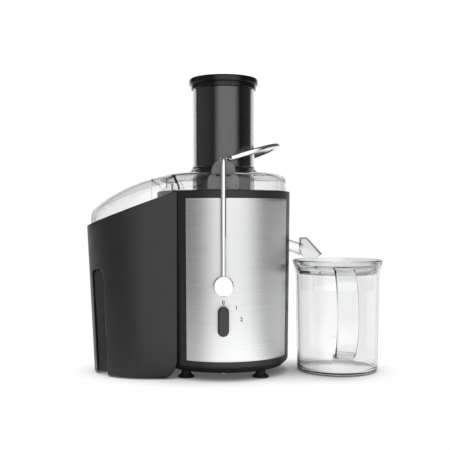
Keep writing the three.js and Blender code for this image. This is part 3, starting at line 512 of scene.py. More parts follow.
def housing():
    step = 0.03
    low, high = panel_low.z - GAP, panel_high.z + GAP
    under_deck = DECK_TOP - BODY_WALL
    outside = rounded([
        (body_radius(BODY_FOOT) - PLINTH_CHAMFER, BODY_FOOT, 1.5),
        (body_radius(BODY_FOOT + PLINTH_CHAMFER), BODY_FOOT + PLINTH_CHAMFER, 5),
        (body_radius(low - step), low - step, 0), (body_radius(low + step), low + step, 0),
        (body_radius(high - step), high - step, 0), (body_radius(high + step), high + step, 0),
        (BODY_R, BODY_TOP, 1.4),
        (BODY_R - BODY_WALL, BODY_TOP, 0.6), (BODY_R - BODY_WALL, BODY_TOP - 3.4, 0),
        (BODY_R - 7, BODY_TOP - 3.4, 0.4), (BODY_R - 7, BODY_TOP - 7, 0),
        (body_radius(BODY_TOP - 12) - BODY_WALL, BODY_TOP - 12, 0),
        (body_radius(DECK_TOP) - BODY_WALL, DECK_TOP, 0), (DECK_HOLE, DECK_TOP, 0.6),
        (DECK_HOLE, under_deck, 0.6), (body_radius(under_deck) - BODY_WALL, under_deck, 0),
        (body_radius(PLINTH_TOP) - BODY_WALL, PLINTH_TOP, 0), (PLINTH_INNER, PLINTH_STEP, 0),
        (PLINTH_INNER, BODY_FOOT, 0.4),
    ])
    edges = (PANEL_LEFT - math.radians(0.3), PANEL_RIGHT + math.radians(0.3))

    def recess(r, z, angle):
        inside = low < z < high and edges[0] < wrapped(angle) < edges[1] and r > body_radius(z) - 0.5
        return r - PANEL_DEPTH - GAP if inside else r

    shell = new_object("housing_shell", lathe(outside, angles=front_angles(edges), radius_at=recess))
    vents = []
    for z in range(48, 92, 9):
        corners = [(-VENT_HALF, z), (VENT_HALF, z), (VENT_HALF, z + 3.5), (-VENT_HALF, z + 3.5)]
        vents.append(prism(rounded([(x, level, 1.7) for x, level in corners]), BODY_R - 20, BODY_R + 5))
    hole = turned(lathe([(0, -12), (SPOUT_R + 0.8, -12), (SPOUT_R + 0.8, 12), (0, 12)], 64),
                  math.pi / 2 + SPOUT_DROP, (BODY_R - 2, 0, SPOUT_Z))
    combine(shell, merged(*vents, hole))
    return piece(shell, "base", "black_plastic", ["housing"])


def front_panel():
    """A thin sheet wrapped round the front, its edges just broken."""
    columns, rows = 110, 50
    sheet = []
    for inset in (0.0, PANEL_DEPTH):
        for j in range(rows + 1):
            z = panel_low.z + (panel_high.z - panel_low.z) * j / rows
            for i in range(columns + 1):
                a = PANEL_LEFT + (PANEL_RIGHT - PANEL_LEFT) * i / columns
                r = body_radius(z) - inset
                sheet.append((r * math.sin(a), -r * math.cos(a), z))
    width = columns + 1
    layer = width * (rows + 1)
    faces = []
    for j in range(rows):
        for i in range(columns):
            a = j * width + i
            faces.append([a, a + 1, a + 1 + width, a + width])
            faces.append([layer + a, layer + a + width, layer + a + 1 + width, layer + a + 1])
    border = list(range(width)) + [j * width + columns for j in range(1, rows + 1)]
    border += [rows * width + i for i in range(columns - 1, -1, -1)]
    border += [j * width for j in range(rows - 1, 0, -1)]
    for a, b in zip(border, border[1:] + border[:1]):
        faces.append([a, a + layer, b + layer, b])
    panel = new_object("steel_panel", (sheet, faces))
    soften(panel, 0.25, 2, 60)
    return piece(panel, "base", "brushed_steel", ["front_panel"])


def foot(name):
    low, high = span(name)
    r = (high.x - low.x) / 2
    top = BODY_FOOT - GAP
    cup = rounded([
        (0, 0.6, 0), (r - 3, 0.6, 0.5), (r - 0.8, 0, 0.4), (r, 0.9, 0.5), (r - 3.2, 3.4, 3), (6.2, 5.2, 1),
        (5.6, top, 0.5), (0, top, 0),
    ], 5, False)
    shape = moved(lathe(cup, 64), ((low.x + high.x) / 2, (low.y + high.y) / 2, 0))
    return make("suction_" + name, shape, "base", "rubber", [name])


def cable_gland():
    low, high = span("cable_gland")
    x, z = (low.x + high.x) / 2, (low.z + high.z) / 2
    length = high.y - low.y
    cup = rounded([
        (3.6, 0, 0.3), (8, 0, 0.6), (8, 3, 0.8), (5.4, 3.4, 0.8), (5.0, length, 0.8), (3.6, length, 0.5),
    ])
    return make("rear_gland", facing(lathe(cup, 48), 1, (x, low.y, z)), "base", "rubber", ["cable_gland"])


# ---------------------------------------------------------------- lid, chute, pusher
def dome(grow, edge=0.0):
    radius = DOME_R + grow
    return [(radius, BODY_TOP + GAP, edge), (radius, DOME_TOP + grow, DOME_FILLET + grow)]


def lid():
    ring = [(CHUTE_R + GAP, DOME_TOP, 0.4), (CHUTE_R + GAP, DOME_TOP - LID_WALL, 0.4)]
    profile = dome(0, 0.3) + ring + dome(-LID_WALL)[::-1]
    shell = new_object("lid_dome", lathe(rounded(profile, 12), 160))
    low, high = BODY_TOP + 4, DOME_TOP - 8
    corners = [(-WINDOW_HALF, low), (WINDOW_HALF, low), (WINDOW_HALF, high), (-WINDOW_HALF, high)]
    window = rounded([(y, z, 3) for y, z in corners])
    combine(shell, prism(window, -DOME_R - 5, -DOME_R + 14, "x"))
    return piece(shell, "base", "clear_plastic", ["lid"])


def feed_chute():
    tube = rounded([
        (CHUTE_BORE, chute_low.z, 0.8), (CHUTE_R, chute_low.z, 0.8), (CHUTE_R, DOME_TOP + GAP, 0.2),
        (CHUTE_R + 5, DOME_TOP + GAP, 0.3), (CHUTE_R + 5, DOME_TOP + 1.8, 0.8), (CHUTE_R, DOME_TOP + 8, 6),
        (CHUTE_R, chute_high.z, 0.9), (CHUTE_BORE, chute_high.z, 0.9),
    ], 8)
    return make("chute_tube", lathe(tube, 160), "base", "clear_plastic", ["feed_chute"])


def pusher():
    low, high = pusher_low.z, pusher_high.z
    inner = PUSHER_R - 2.5
    shell = rounded([
        (0, low, 0), (PUSHER_R, low, 3), (PUSHER_R, high, 0.3), (inner, high, 0.3), (inner, low + 4, 2),
        (0, low + 2.5, 0),
    ], 6, False)
    return make("pusher_body", lathe(shell, 160), "pusher", "gloss_black", ["pusher"])


def pusher_cap():
    top = cap_high.z
    rim = chute_high.z
    plug = PUSHER_R - 2.9
    shell = rounded([
        (0, cap_low.z, 0), (plug, cap_low.z, 0.8), (plug, rim + GAP, 0), (CHUTE_R + GAP, rim + GAP, 0),
        (CHUTE_R + GAP, rim - 3, 0.2), (CHUTE_R + 1.8, rim - 3, 0.5), (CHUTE_R + 2.0, rim + 2.4, 0.2),
        (CHUTE_R + 1.2, rim + 2.8, 0.1), (CHUTE_R + 1.2, rim + 3.4, 0.1), (CAP_R, rim + 3.6, 0.9),
        (CAP_R, top, 2.6), (CAP_R - 5, top, 0.8), (CAP_R - 6, top - 0.8, 0.8), (0, top - 0.8, 0),
    ], 6, False)
    return make("pusher_lid", lathe(shell, 160), "pusher", "gloss_black", ["pusher_cap"])


def lug(end, side):
    """A tab that the arm bears on, with a broader foot and a slot between them."""
    low, high = span("lid_lug_" + end)
    tab = rounded([
        (-14.6, LUG_TAB_LOW, 0.8), (-14.2, high.z - 8, 8), (-9.5, high.z, 9), (9.5, high.z, 9),
        (14.2, high.z - 8, 8), (14.6, LUG_TAB_LOW, 0.8),
    ], 8)
    base = rounded([
        (-19.4, low.z, 0.4), (-18.4, LUG_FOOT_TOP, 6), (18.4, LUG_FOOT_TOP, 6), (19.4, low.z, 0.4),
    ], 8)
    obj = new_object("lug_" + end, prism(base, side * (DOME_R - 9), side * (DOME_R + 3)))
    combine(obj, prism(tab, side * (DOME_R - 6), side * (DOME_R + 1.4)), "UNION")
    corners = [(-9.5, LUG_SLOT_LOW), (9.5, LUG_SLOT_LOW), (9.5, LUG_SLOT_HIGH), (-9.5, LUG_SLOT_HIGH)]
    slot = rounded([(x, z, 0.9) for x, z in corners])
    combine(obj, prism(slot, side * (DOME_R - 20), side * (DOME_R + 10)))
    reach, top = DOME_R + GAP, DOME_TOP + GAP
    under = [(0, BODY_TOP - 5, 0), (reach, BODY_TOP - 5, 0), (reach, top, DOME_FILLET), (0, top, 0)]
    combine(obj, lathe(rounded(under, 12, False), 160))
    soften(obj, 0.35, 2, 50)
    return piece(obj, "base", "frosted_plastic", ["lid_lug_" + end])


# ---------------------------------------------------------------- locking arm
def bezier(a, b, c, steps):
    a, b, c = Vector(a), Vector(b), Vector(c)
    return [a * (1 - t) ** 2 + b * 2 * t * (1 - t) + c * t * t for t in (k / steps for k in range(steps + 1))]


def arm_line():
    """Up one side, over the lug, round the chute and down the other side."""
    along = Vector((math.cos(LOOP_RISE), 0, math.sin(LOOP_RISE)))
    start = Vector((7, 0, RUN_Z))
    centre = start + along * (LOOP_REACH - LOOP_HALF)

    def half(side):
        foot_point = (0, side * WIRE_LINE, PIVOT_Z + 7)
        corner = (0, side * WIRE_LINE, RUN_Z - ARM_BEND)
        over = (1, side * (WIRE_LINE - ARM_BEND), RUN_Z)
        inner = (5, side * (LOOP_HALF + 8), RUN_Z)
        out = start + along * 8 + Vector((0, side * LOOP_HALF, 0))
        line = [Vector(foot_point)] + bezier(corner, (0, side * WIRE_LINE, RUN_Z), over, 12)
        return line + bezier(inner, (6, side * LOOP_HALF, RUN_Z), out, 12)

    arc = []
    steps = 48
    for k in range(steps + 1):
        t = math.radians(-90 + 180 * k / steps)
        arc.append(centre + along * LOOP_HALF * math.cos(t) + Vector((0, LOOP_HALF * math.sin(t), 0)))
    return half(-1) + arc + half(1)[::-1]


def arm():
    make("arm_wire", rod(arm_line(), WIRE_R, 32), "arm", "chrome", ["locking_arm"], 60)
    for end, side in (("front", -1), ("rear", 1)):
        low, high = span("arm_hub_" + end)
        inner, outer = sorted((abs(low.y), abs(high.y)))
        face = rounded([
            (0, inner, 0), (HUB_R, inner, 0.5), (HUB_R, outer - 0.4, 2.2), (HUB_R - 5, outer, 3),
            (0, outer, 0),
        ], 8, False)
        hub = facing(lathe(face, 96), side, (0, 0, PIVOT_Z))
        make("hub_" + end, hub, "arm", "chrome", ["arm_hub_" + end])


# ---------------------------------------------------------------- selector and its printed marks
def pill(width, length, inset, steps=16):
    r = width / 2 - inset
    h = length / 2 - width / 2
    ring = []
    for centre, start in ((h, 0), (-h, 180)):
        for k in range(steps + 1):
            t = math.radians(start + 180 * k / steps)
            ring.append((r * math.cos(t), centre + r * math.sin(t)))
    return ring


def knob():
    width, length = knob_high.x - knob_low.x, knob_high.z - knob_low.z
    back = -body_radius(KNOB_Z) - 1
    front = knob_low.y
    levels = [
        (back, 0.3), (back - 0.3, 0), (front + 2.6, 0.1), (front + 1.2, 0.5), (front + 0.4, 1.3),
        (front + 0.05, 2.6), (front, 4.2),
    ]
    rings = [[(x, y, z + KNOB_Z) for x, z in pill(width, length, inset)] for y, inset in levels]
    grip = new_object("selector", loft(rings))
    stem = facing(lathe([(0, 0), (3, 0), (3, 16), (0, 16)], 32), 1, (0, back + 0.1, KNOB_Z))
    combine(grip, stem, "UNION")
    return piece(grip, "knob", "knob_plastic", ["selector_knob"])


def mark(text, degrees, reach=22.4, size=6.9):
    """A printed figure that lies on the panel, at an angle round the selector."""
    curve = bpy.data.curves.new("mark", "FONT")
    curve.body = text
    curve.size = size * MM
    curve.extrude = 0.05 * MM
    curve.offset = 0.15 * MM
    curve.align_x = "CENTER"
    curve.align_y = "CENTER"
    source = bpy.data.objects.new("mark", curve)
    bpy.context.scene.collection.objects.link(source)
    bpy.context.view_layer.update()
    mesh = bpy.data.meshes.new_from_object(source.evaluated_get(bpy.context.evaluated_depsgraph_get()))
    bpy.data.objects.remove(source)
    a = math.radians(degrees)
    u0, z0 = reach * math.sin(a), KNOB_Z + reach * math.cos(a)
    for v in mesh.vertices:
        u, z, lift = u0 + v.co.x / MM, z0 + v.co.y / MM, v.co.z / MM
        r = body_radius(z) + 0.06 + lift
        turn = u / body_radius(z)
        v.co = (r * math.sin(turn) * MM + AXIS.x, -r * math.cos(turn) * MM + AXIS.y, z * MM)
    obj = bpy.data.objects.new("mark_" + text, mesh)
    bpy.context.scene.collection.objects.link(obj)
    obj.data.materials.clear()
    obj.data.materials.append(materials["print"])
    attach(obj, "base")


# ---------------------------------------------------------------- pulp container and cover
def rim_at(x):
    return RIM_END + RIM_FALL * (x + math.sqrt(TUB_FACE ** 2 - TUB_HALF ** 2))


END_Z = rim_at(TUB_LEFT)


def smoothstep(edge0, edge1, value):
    t = max(0.0, min(1.0, (value - edge0) / (edge1 - edge0)))
    return t * t * (3 - 2 * t)


def grip_depth(x, z, grow):
    """How far into a finger recess a place on the side is, from 0 outside to 1 inside."""
    lean = TUB_DRAFT * (1 - z / END_Z)
    middle = TUB_LEFT + (GRIP_NEAR + GRIP_FAR) / 2 + lean * 0.97
    half = (GRIP_FAR - GRIP_NEAR) / 2 + grow - lean * 0.03
    shoulder = GRIP_TOP - (GRIP_FAR - GRIP_NEAR) / 2
    away = abs(x - middle) if z < shoulder else math.hypot(x - middle, z - shoulder)
    return 1 - smoothstep(half - 0.9, half + 0.5, away)


def tub_ring(inset, height, floor):
    """One level of the container's wall, at a share of the way from its floor to its rim."""
    h = TUB_HALF - inset
    rc = TUB_FACE + inset
    start = TUB_LEFT + END_LENGTH
    sweep = math.asin(h / rc)
    face, sides, end = 60, 24, 180  # steps along the concave face, each side and the round end
    turns = [-sweep + 2 * sweep * k / face for k in range(face + 1)]
    plan = [(-rc * math.cos(t), rc * math.sin(t)) for t in turns]
    edge = -math.sqrt(rc * rc - h * h)
    plan += [(edge + (start - edge) * k / sides, h) for k in range(1, sides)]
    plan += [(None, math.radians(90 + 180 * k / end)) for k in range(end + 1)]
    plan += [(start + (edge - start) * k / sides, -h) for k in range(1, sides)]
    ring = []
    for x, y in plan:
        if x is None:
            rough = start + (END_LENGTH - inset) * math.cos(y)
            level = floor + (rim_at(rough) - floor) * height
            length = END_LENGTH - inset - TUB_DRAFT * max(1 - level / END_Z, 0)
            x, y = start + length * math.cos(y), h * math.sin(y)
        corner = max(x - CORNER_START, 0) / CORNER_LONG
        low = floor + CORNER_HIGH * (1 - math.sqrt(max(1 - corner ** 2, 0)))
        z = low + (rim_at(x) - low) * height
        depth = grip_depth(x, z, inset)
        web = GRIP_WEB - inset
        if depth > 0 and abs(y) > web:
            y = math.copysign(abs(y) + (web - abs(y)) * depth, y)
        ring.append((x, y, z))
    return ring


def container():
    bottom = tub_low.z
    rows = 96
    foot_edge = [(3, 0), (1, 0), (0.3, 0.002)]
    rim_edge = [(0.25, 0.998), (0.8, 1.0), (TUB_WALL - 0.5, 1.0), (TUB_WALL, 0.998)]
    rings = [tub_ring(inset, height, bottom) for inset, height in foot_edge]
    rings += [tub_ring(0, 0.005 + 0.99 * k / rows, bottom) for k in range(rows + 1)]
    rings += [tub_ring(inset, height, bottom) for inset, height in rim_edge]
    inside = bottom + TUB_WALL
    rings += [tub_ring(TUB_WALL, 0.995 - 0.99 * k / rows, inside) for k in range(rows + 1)]
    return make("pulp_tub", loft(rings), "container", "container_plastic", ["pulp_container"], 50)


def cover_section(x, inset):
    start = TUB_LEFT + END_LENGTH
    reach = END_LENGTH - COVER_INSET - inset
    along = min(max((start - x) / reach, 0), 1)
    half = (TUB_HALF - COVER_SIDE - inset) * math.sqrt(max(1 - along ** 2, 0))
    return half, rim_at(x) + COVER_RISE - COVER_BOW * (x - COVER_CREST) ** 2 - inset


def cover_solid(inset, drop):
    """A crowned solid with round shoulders; its underside follows the rim, drop below it."""
    left = TUB_LEFT + COVER_INSET + inset + 0.02
    right = -46
    steps = 70
    rings = []
    for i in range(steps + 1):
        x = left + (right - left) * (i / steps) ** 2.2
        half, crown = cover_section(x, inset)
        nose = COVER_NOSE - inset
        crown -= nose - math.sqrt(nose ** 2 - max(nose - (x - left), 0) ** 2)
        fillet = min(COVER_FILLET - inset, half * 0.9)
        low = rim_at(x) - drop
        ring = [(x, -half, low), (x, -half, low + (crown - fillet - low) / 2)]
        for side, start in ((-1, 180), (1, 90)):
            for k in range(11):
                t = math.radians(start - 9 * k)
                y = side * (half - fillet) + fillet * math.cos(t)
                bulge = COVER_BULGE * (1 - (abs(y) / max(half, 1e-3)) ** 2)
                ring.append((x, y, crown - fillet + fillet * math.sin(t) + bulge - COVER_BULGE))
        ring += [(x, half, low + (crown - fillet - low) / 2), (x, half, low)]
        rings.append(ring)
    return loft(rings)


def box(x0, x1, y0, y1, z0, z1):
    return prism([(x0, z0), (x1, z0), (x1, z1), (x0, z1)], y0, y1)


def hood(name):
    shell = new_object(name, cover_solid(0, LEDGE_DROP - GAP))
    combine(shell, cover_solid(COVER_WALL, LEDGE_DROP + 20))
    return shell


def cover():
    """The container's clear cover, and the short hood on the lid that carries on from it."""
    seam = span("pulp_cover")[1].x
    own = hood("clear_cover")
    below, above, aside = 60, 300, 100  # well past the cover on every side
    combine(own, box(seam, 0, -aside, aside, below, above))
    soften(own, 0.3, 2, 60)
    piece(own, "cover", "clear_plastic", ["pulp_cover"], 40)
    low = span("lid_hood")[0]
    fixed = hood("clear_hood")
    combine(fixed, box(TUB_LEFT - 5, low.x, -aside, aside, below, above))
    combine(fixed, box(TUB_LEFT - 5, 0, -aside, aside, below, low.z))
    reach, top = BODY_R + LID_CLEARANCE, BODY_TOP + LID_CLEARANCE
    combine(fixed, lathe([(0, below), (reach, below), (reach, top), (0, top)], 160))
    reach, top, round_off = [v + LID_CLEARANCE for v in (DOME_R, DOME_TOP, DOME_FILLET)]
    over_lid = [(0, below, 0), (reach, below, 0), (reach, top, round_off), (0, top, 0)]
    combine(fixed, lathe(rounded(over_lid, 12, False), 160))
    soften(fixed, 0.3, 2, 60)
    piece(fixed, "base", "clear_plastic", ["lid_hood"], 40)


# ---------------------------------------------------------------- spout
def spout():
    bore = SPOUT_R - SPOUT_WALL
    tube = rounded([(bore, -7.5, 0.4), (SPOUT_R, -7.5, 0.4), (SPOUT_R, 19, 0.5), (bore, 19, 0.5)])
    pitch = math.pi / 2 + SPOUT_DROP
    place = (BODY_R - 2, 0, SPOUT_Z)
    make("juice_tube", turned(lathe(tube, 96), pitch, place), "base", "clear_plastic", ["spout_tube"])
    wall_x = BODY_R - 2
    top, bottom, tip = SPOUT_Z + 10, nozzle_low.z, nozzle_high.x
    half = nozzle_high.y

    def hood(inset, floor):
        return [(wall_x + 15 + inset, top - inset, 1.2), (wall_x + 24 - inset * 0.5, top - inset, 1.5),
                (tip - inset * 1.4, bottom + 5.5 - inset * 0.4, 1.0), (tip - 7.5 - inset, floor, 0.4),
                (wall_x + 21 + inset, floor, 0.4), (wall_x + 14 + inset, bottom + 8, 2)]

    shell = new_object("nozzle", prism(rounded(hood(0, bottom)), -half, half))
    soften(shell, 0.7, 3, 60)
    combine(shell, prism(rounded(hood(SPOUT_WALL, bottom - 5)), -half + SPOUT_WALL, half - SPOUT_WALL))
    way_in = lathe([(0, 5), (SPOUT_R + GAP, 5), (SPOUT_R + GAP, 24), (0, 24)], 96)
    combine(shell, turned(way_in, pitch, place))
    piece(shell, "base", "clear_plastic", ["spout_nozzle"])
    shell.data.materials[0] = materials["spout_clear"]


# ---------------------------------------------------------------- jug
def jug_wall(z):
    if z > FLARE_Z:
        return JUG_R + JUG_FLARE * (z - FLARE_Z) / (JUG_TOP - FLARE_Z)
    return JUG_R - JUG_DRAFT * (FLARE_Z - z) / FLARE_Z


def jug():
    low = jug_low.z
    cup = rounded([
        (0, low + 1.2, 0), (JUG_R - 9, low + 1.2, 1), (JUG_R - 7, low, 0.6), (JUG_R - JUG_DRAFT, low, 4.5),
        (JUG_R, FLARE_Z, 30), (JUG_RIM, JUG_TOP, 0.9), (JUG_RIM - JUG_WALL, JUG_TOP, 0.9),
        (JUG_R - JUG_WALL, FLARE_Z, 30),
        (JUG_R - JUG_DRAFT - JUG_WALL, low + 3, 5), (0, low + 3.6, 0),
    ], 10, False)
    shell = new_object("clear_jug", lathe(cup, 160))
    middle = (handle_low.z + handle_high.z) / 2
    tall = (handle_high.z - handle_low.z) / 2 - 2.2
    deep = -handle_low.y - JUG_R - 2.2
    a, b = HANDLE_BAR[0] / 2, HANDLE_BAR[1] / 2
    bar = rounded([(-a, -b, 2.2), (a, -b, 2.2), (a, b, 2.2), (-a, b, 2.2)], 5)
    line = []
    steps = 60
    for k in range(steps + 1):
        t = math.radians(96 - 192 * k / steps)
        line.append((0, -JUG_R + 1 - (deep + 1) * math.cos(t), middle + tall * math.sin(t)))
    strap = new_object("strap", rod(line, 1, section=bar))
    inside = [
        (0, 0), (jug_wall(0) - 1, 0), (jug_wall(FLARE_Z) - 1, FLARE_Z), (JUG_RIM - 1, JUG_TOP + 2),
        (0, JUG_TOP + 2),
    ]
    combine(strap, lathe(inside, 160))
    change = shell.modifiers.new("handle", "BOOLEAN")
    change.operation = "UNION"
    change.object = strap
    change.solver = "EXACT"
    apply_modifiers(shell)
    bpy.data.objects.remove(strap)
    for v in shell.data.vertices:
        v.co.x += JUG_X * MM
    return piece(shell, "jug", "clear_jug", ["jug", "jug_handle"], 40)


def jug_lid():
    low = span("jug_lid")[0].z
    seat = FLARE_Z + 10
    fit = JUG_WALL + 0.5
    skirt, brim = jug_wall(low) - fit, JUG_RIM - fit
    dish = rounded([
        (0, seat, 0), (skirt - 2, seat, 1), (skirt - 2, low, 0.5), (skirt, low, 0.5), (brim, JUG_TOP, 0.6),
        (brim - 2, JUG_TOP, 0.6), (jug_wall(seat) - fit - 2.2, seat + 2, 1), (0, seat + 2, 0),
    ], 5, False)
    shell = new_object("clear_jug_lid", lathe(dish, 160))
    notch_end = nozzle_high.x - JUG_X
    outside = -JUG_RIM - 5
    notch = rounded([(outside, -14, 0), (notch_end, -14, 4), (notch_end, 14, 4), (outside, 14, 0)])
    combine(shell, prism(notch, low - 5, JUG_TOP + 5, "z"))
    for v in shell.data.vertices:
        v.co.x += JUG_X * MM
    piece(shell, "jug_lid", "clear_jug", ["jug_lid"])
    shell.data.materials[0] = materials["lid_clear"]
    low, high = span("foam_separator")
    plate = rounded([
        (low.x + 1.5, low.z, 4), (high.x - 1.5, low.z, 4), (high.x, high.z, 0.5), (low.x, high.z, 0.5),
    ])
    board = new_object("foam_plate", prism(plate, low.y, high.y))
    soften(board, 0.4, 2, 50)
    piece(board, "jug_lid", "clear_jug", ["foam_separator"])


# ---------------------------------------------------------------- inside the lid
def collector():
    floor = span("juice_collector")[0].z
    r, flange = BODY_R - 7.5, BODY_R - 3.4
    top = BODY_TOP - 0.1
    hub_inner, hub_outer = HUB_TUBE
    profile = rounded([
        (hub_inner, floor, 0.4), (r - 6, floor, 1), (r, floor + 6, 4), (r, top - 3, 0.2),
        (flange, top - 3, 0.3), (flange, top, 0.5), (r - 2.5, top, 0.5), (r - 2.5, floor + 7.5, 3),
        (r - 7.5, floor + 2.6, 2), (hub_outer, floor + 2.6, 1.5), (hub_outer, floor + 18, 0.6),
        (hub_inner, floor + 18, 0.6),
    ])
    shell = new_object("collector_bowl", lathe(profile, 128))
    port = lathe([(0, -14), (SPOUT_R + GAP, -14), (SPOUT_R + GAP, 10), (0, 10)], 64)
    combine(shell, turned(port, math.pi / 2 + SPOUT_DROP, (BODY_R - 2, 0, SPOUT_Z)))
    piece(shell, "base", "clear_plastic", ["juice_collector"])


def basket():
    low, high = span("sieve_basket")
    rim, inner = high.x, high.x - 4.8
    profile = rounded([
        (BASKET_FOOT, low.z, 0.2), (BASKET_FOOT + 1.8, low.z, 0.4), (rim - 3.4, high.z - 5, 1),
        (rim, high.z - 5, 0.6), (rim, high.z, 1), (inner, high.z, 1), (inner, high.z - 4.6, 1),
    ])
    obj = make("sieve_cone", lathe(profile, 128), "rotor", "plain_steel", ["sieve_basket"])
    obj.data.materials[0] = materials["sieve_steel"]


# ---------------------------------------------------------------- studio
def fade(nodes, links, value, start, end, low=0.0, high=1.0):
    """Low up to start, high from end on, and smooth between."""
    node = nodes.new("ShaderNodeMapRange")
    node.interpolation_type = "SMOOTHSTEP"
    for socket, number in (("From Min", start), ("From Max", end), ("To Min", low), ("To Max", high)):
        node.inputs[socket].default_value = number
    links.new(value, node.inputs["Value"])
    return node.outputs["Result"]


class Sky:
    """A studio as a world shader: soft patches of light, each round a direction."""

    def __init__(self, base):
        world = bpy.data.worlds.new("studio")
        bpy.context.scene.world = world
        world.use_nodes = True
        self.nodes, self.links = world.node_tree.nodes, world.node_tree.links
        self.way = self.nodes.new("ShaderNodeTexCoord").outputs["Generated"]
        self.total = self.math("ADD", base, 0.0)

    def math(self, operation, a, b):
        node = self.nodes.new("ShaderNodeMath")
        node.operation = operation
        for socket, value in zip(node.inputs, (a, b)):
            if isinstance(value, (int, float)):
                socket.default_value = value
            else:
                self.links.new(value, socket)
        return node.outputs[0]

    def patch(self, azimuth, elevation, inner, outer, strength, squeeze=(1, 1, 1)):
        """Adds strength within inner degrees of a direction, fading to nothing at outer degrees."""
        a, e = math.radians(azimuth), math.radians(elevation)
        aim = Vector((math.sin(a) * math.cos(e), -math.cos(a) * math.cos(e), math.sin(e)))
        stretch = self.nodes.new("ShaderNodeVectorMath")
        stretch.operation = "MULTIPLY"
        stretch.inputs[1].default_value = squeeze
        self.links.new(self.way, stretch.inputs[0])
        unit = self.nodes.new("ShaderNodeVectorMath")
        unit.operation = "NORMALIZE"
        self.links.new(stretch.outputs[0], unit.inputs[0])
        dot = self.nodes.new("ShaderNodeVectorMath")
        dot.operation = "DOT_PRODUCT"
        dot.inputs[1].default_value = Vector(a * b for a, b in zip(aim, squeeze)).normalized()
        self.links.new(unit.outputs[0], dot.inputs[0])
        start, end = math.cos(math.radians(outer)), math.cos(math.radians(inner))
        glow = fade(self.nodes, self.links, dot.outputs["Value"], start, end, high=strength)
        self.total = self.math("ADD", self.total, glow)

    def finish(self):
        """The camera itself sees plain white behind the object."""
        seen = self.nodes.new("ShaderNodeLightPath").outputs["Is Camera Ray"]
        white = self.math("MAXIMUM", self.total, self.math("MULTIPLY", seen, 1.05))
        background = self.nodes["Background"]
        self.links.new(white, background.inputs["Color"])


KEY = 13  # the softbox's direction, degrees to the right of the front
KEY_INNER, KEY_OUTER = 20, 54  # its full and its faded reach, in degrees


def lights():
    """A bright rear wall, the softbox in front, faint fill from both sides and from above."""
    sky = Sky(0.06)
    sky.patch(180, 0, 20, 50, 1.0)
    sky.patch(KEY, 12, KEY_INNER, KEY_OUTER, 1.45, (1, 1, 0.35))
    sky.patch(105, 5, 10, 50, 0.05)
    sky.patch(-75, 10, 10, 50, 0.2)
    sky.patch(0, 90, 10, 50, 0.12)
    sky.finish()


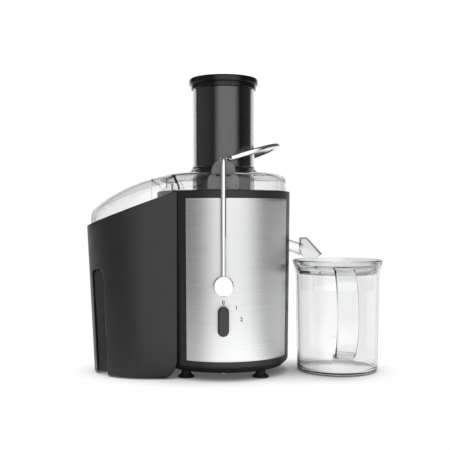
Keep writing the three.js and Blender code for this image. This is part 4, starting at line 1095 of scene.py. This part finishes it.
def floor_material():
    """To the camera, white with a contact shadow painted from occlusion. To other rays, painted light
    brighter behind and before the softbox, and painted shade close under the body.
    """
    white = bpy.data.materials.new("floor_white")
    white.use_nodes = True
    nodes, links = white.node_tree.nodes, white.node_tree.links
    nodes.remove(nodes["Principled BSDF"])
    glow = nodes.new("ShaderNodeEmission")
    links.new(glow.outputs[0], nodes["Material Output"].inputs["Surface"])
    shadow = nodes.new("ShaderNodeAmbientOcclusion")
    shadow.samples = 24
    shadow.inputs["Distance"].default_value = 0.09
    # painted contact shadow: the glow falls with occlusion near the body
    tone = fade(nodes, links, shadow.outputs["AO"], 0.0, 0.88, 0.10, 1.02)
    place = nodes.new("ShaderNodeNewGeometry").outputs["Position"]
    split = nodes.new("ShaderNodeSeparateXYZ")
    links.new(place, split.inputs[0])
    # painted light: the glow seen by other rays grows from front to back
    depth = fade(nodes, links, split.outputs["Y"], -0.6, 0.1, 0.12, 0.95)
    unit = nodes.new("ShaderNodeVectorMath")
    unit.operation = "NORMALIZE"
    links.new(place, unit.inputs[0])
    toward = nodes.new("ShaderNodeVectorMath")
    toward.operation = "DOT_PRODUCT"
    toward.inputs[1].default_value = (math.sin(math.radians(KEY)), -math.cos(math.radians(KEY)), 0)
    links.new(unit.outputs[0], toward.inputs[0])
    outer, inner = math.cos(math.radians(KEY_OUTER)), math.cos(math.radians(KEY_INNER))
    # painted pool of light on the floor before the softbox
    pool = fade(nodes, links, toward.outputs["Value"], outer, inner, high=1.1)
    both = nodes.new("ShaderNodeMath")
    links.new(depth, both.inputs[0])
    links.new(pool, both.inputs[1])
    away = nodes.new("ShaderNodeVectorMath")
    away.operation = "DISTANCE"
    away.inputs[1].default_value = (AXIS.x, AXIS.y, 0)
    links.new(place, away.inputs[0])
    shaded = nodes.new("ShaderNodeMath")
    shaded.operation = "MULTIPLY"
    links.new(both.outputs[0], shaded.inputs[0])
    # painted shade: within 8 cm of the axis the glow falls to a twentieth, for rays other than the camera's
    links.new(fade(nodes, links, away.outputs["Value"], 0.08, 0.16, 0.05), shaded.inputs[1])
    level = nodes.new("ShaderNodeMix")
    links.new(nodes.new("ShaderNodeLightPath").outputs["Is Camera Ray"], level.inputs["Factor"])
    links.new(shaded.outputs[0], level.inputs["A"])
    links.new(tone, level.inputs["B"])
    links.new(level.outputs["Result"], glow.inputs["Strength"])
    return white


def floor_sheet():
    mesh = bpy.data.meshes.new("floor")
    reach, level = 8.0, -0.0003
    corners = [(-reach, -reach, level), (reach, -reach, level), (reach, reach, level), (-reach, reach, level)]
    mesh.from_pydata(corners, [], [[0, 1, 2, 3]])
    sheet = bpy.data.objects.new("floor", mesh)
    bpy.context.scene.collection.objects.link(sheet)
    mesh.materials.append(floor_material())


def camera():
    """A level view from a metre away, a little over half the juicer's height."""
    lens = bpy.data.cameras.new("camera")
    lens.lens = 62.96
    lens.sensor_width = 36
    view = bpy.data.objects.new("camera", lens)
    view.location = (AXIS.x + 0.002, AXIS.y - 1.043, 0.2018)
    view.rotation_euler = (math.radians(90 - 0.58), 0, 0)
    bpy.context.scene.collection.objects.link(view)
    bpy.context.scene.camera = view


def studio():
    bpy.context.scene.view_settings.view_transform = "Standard"
    lights()
    floor_sheet()
    camera()


# ---------------------------------------------------------------- everything
studio()
housing()
front_panel()
for row in ("front", "rear"):
    for side in ("left", "right"):
        foot(f"foot_{row}_{side}")
cable_gland()
lid()
feed_chute()
pusher()
pusher_cap()
lug("front", -1)
lug("rear", 1)
arm()
knob()
for text, degrees in (("0", 0), ("1", 45), ("2", 86)):
    mark(text, degrees)
container()
cover()
spout()
jug()
jug_lid()
collector()
basket()
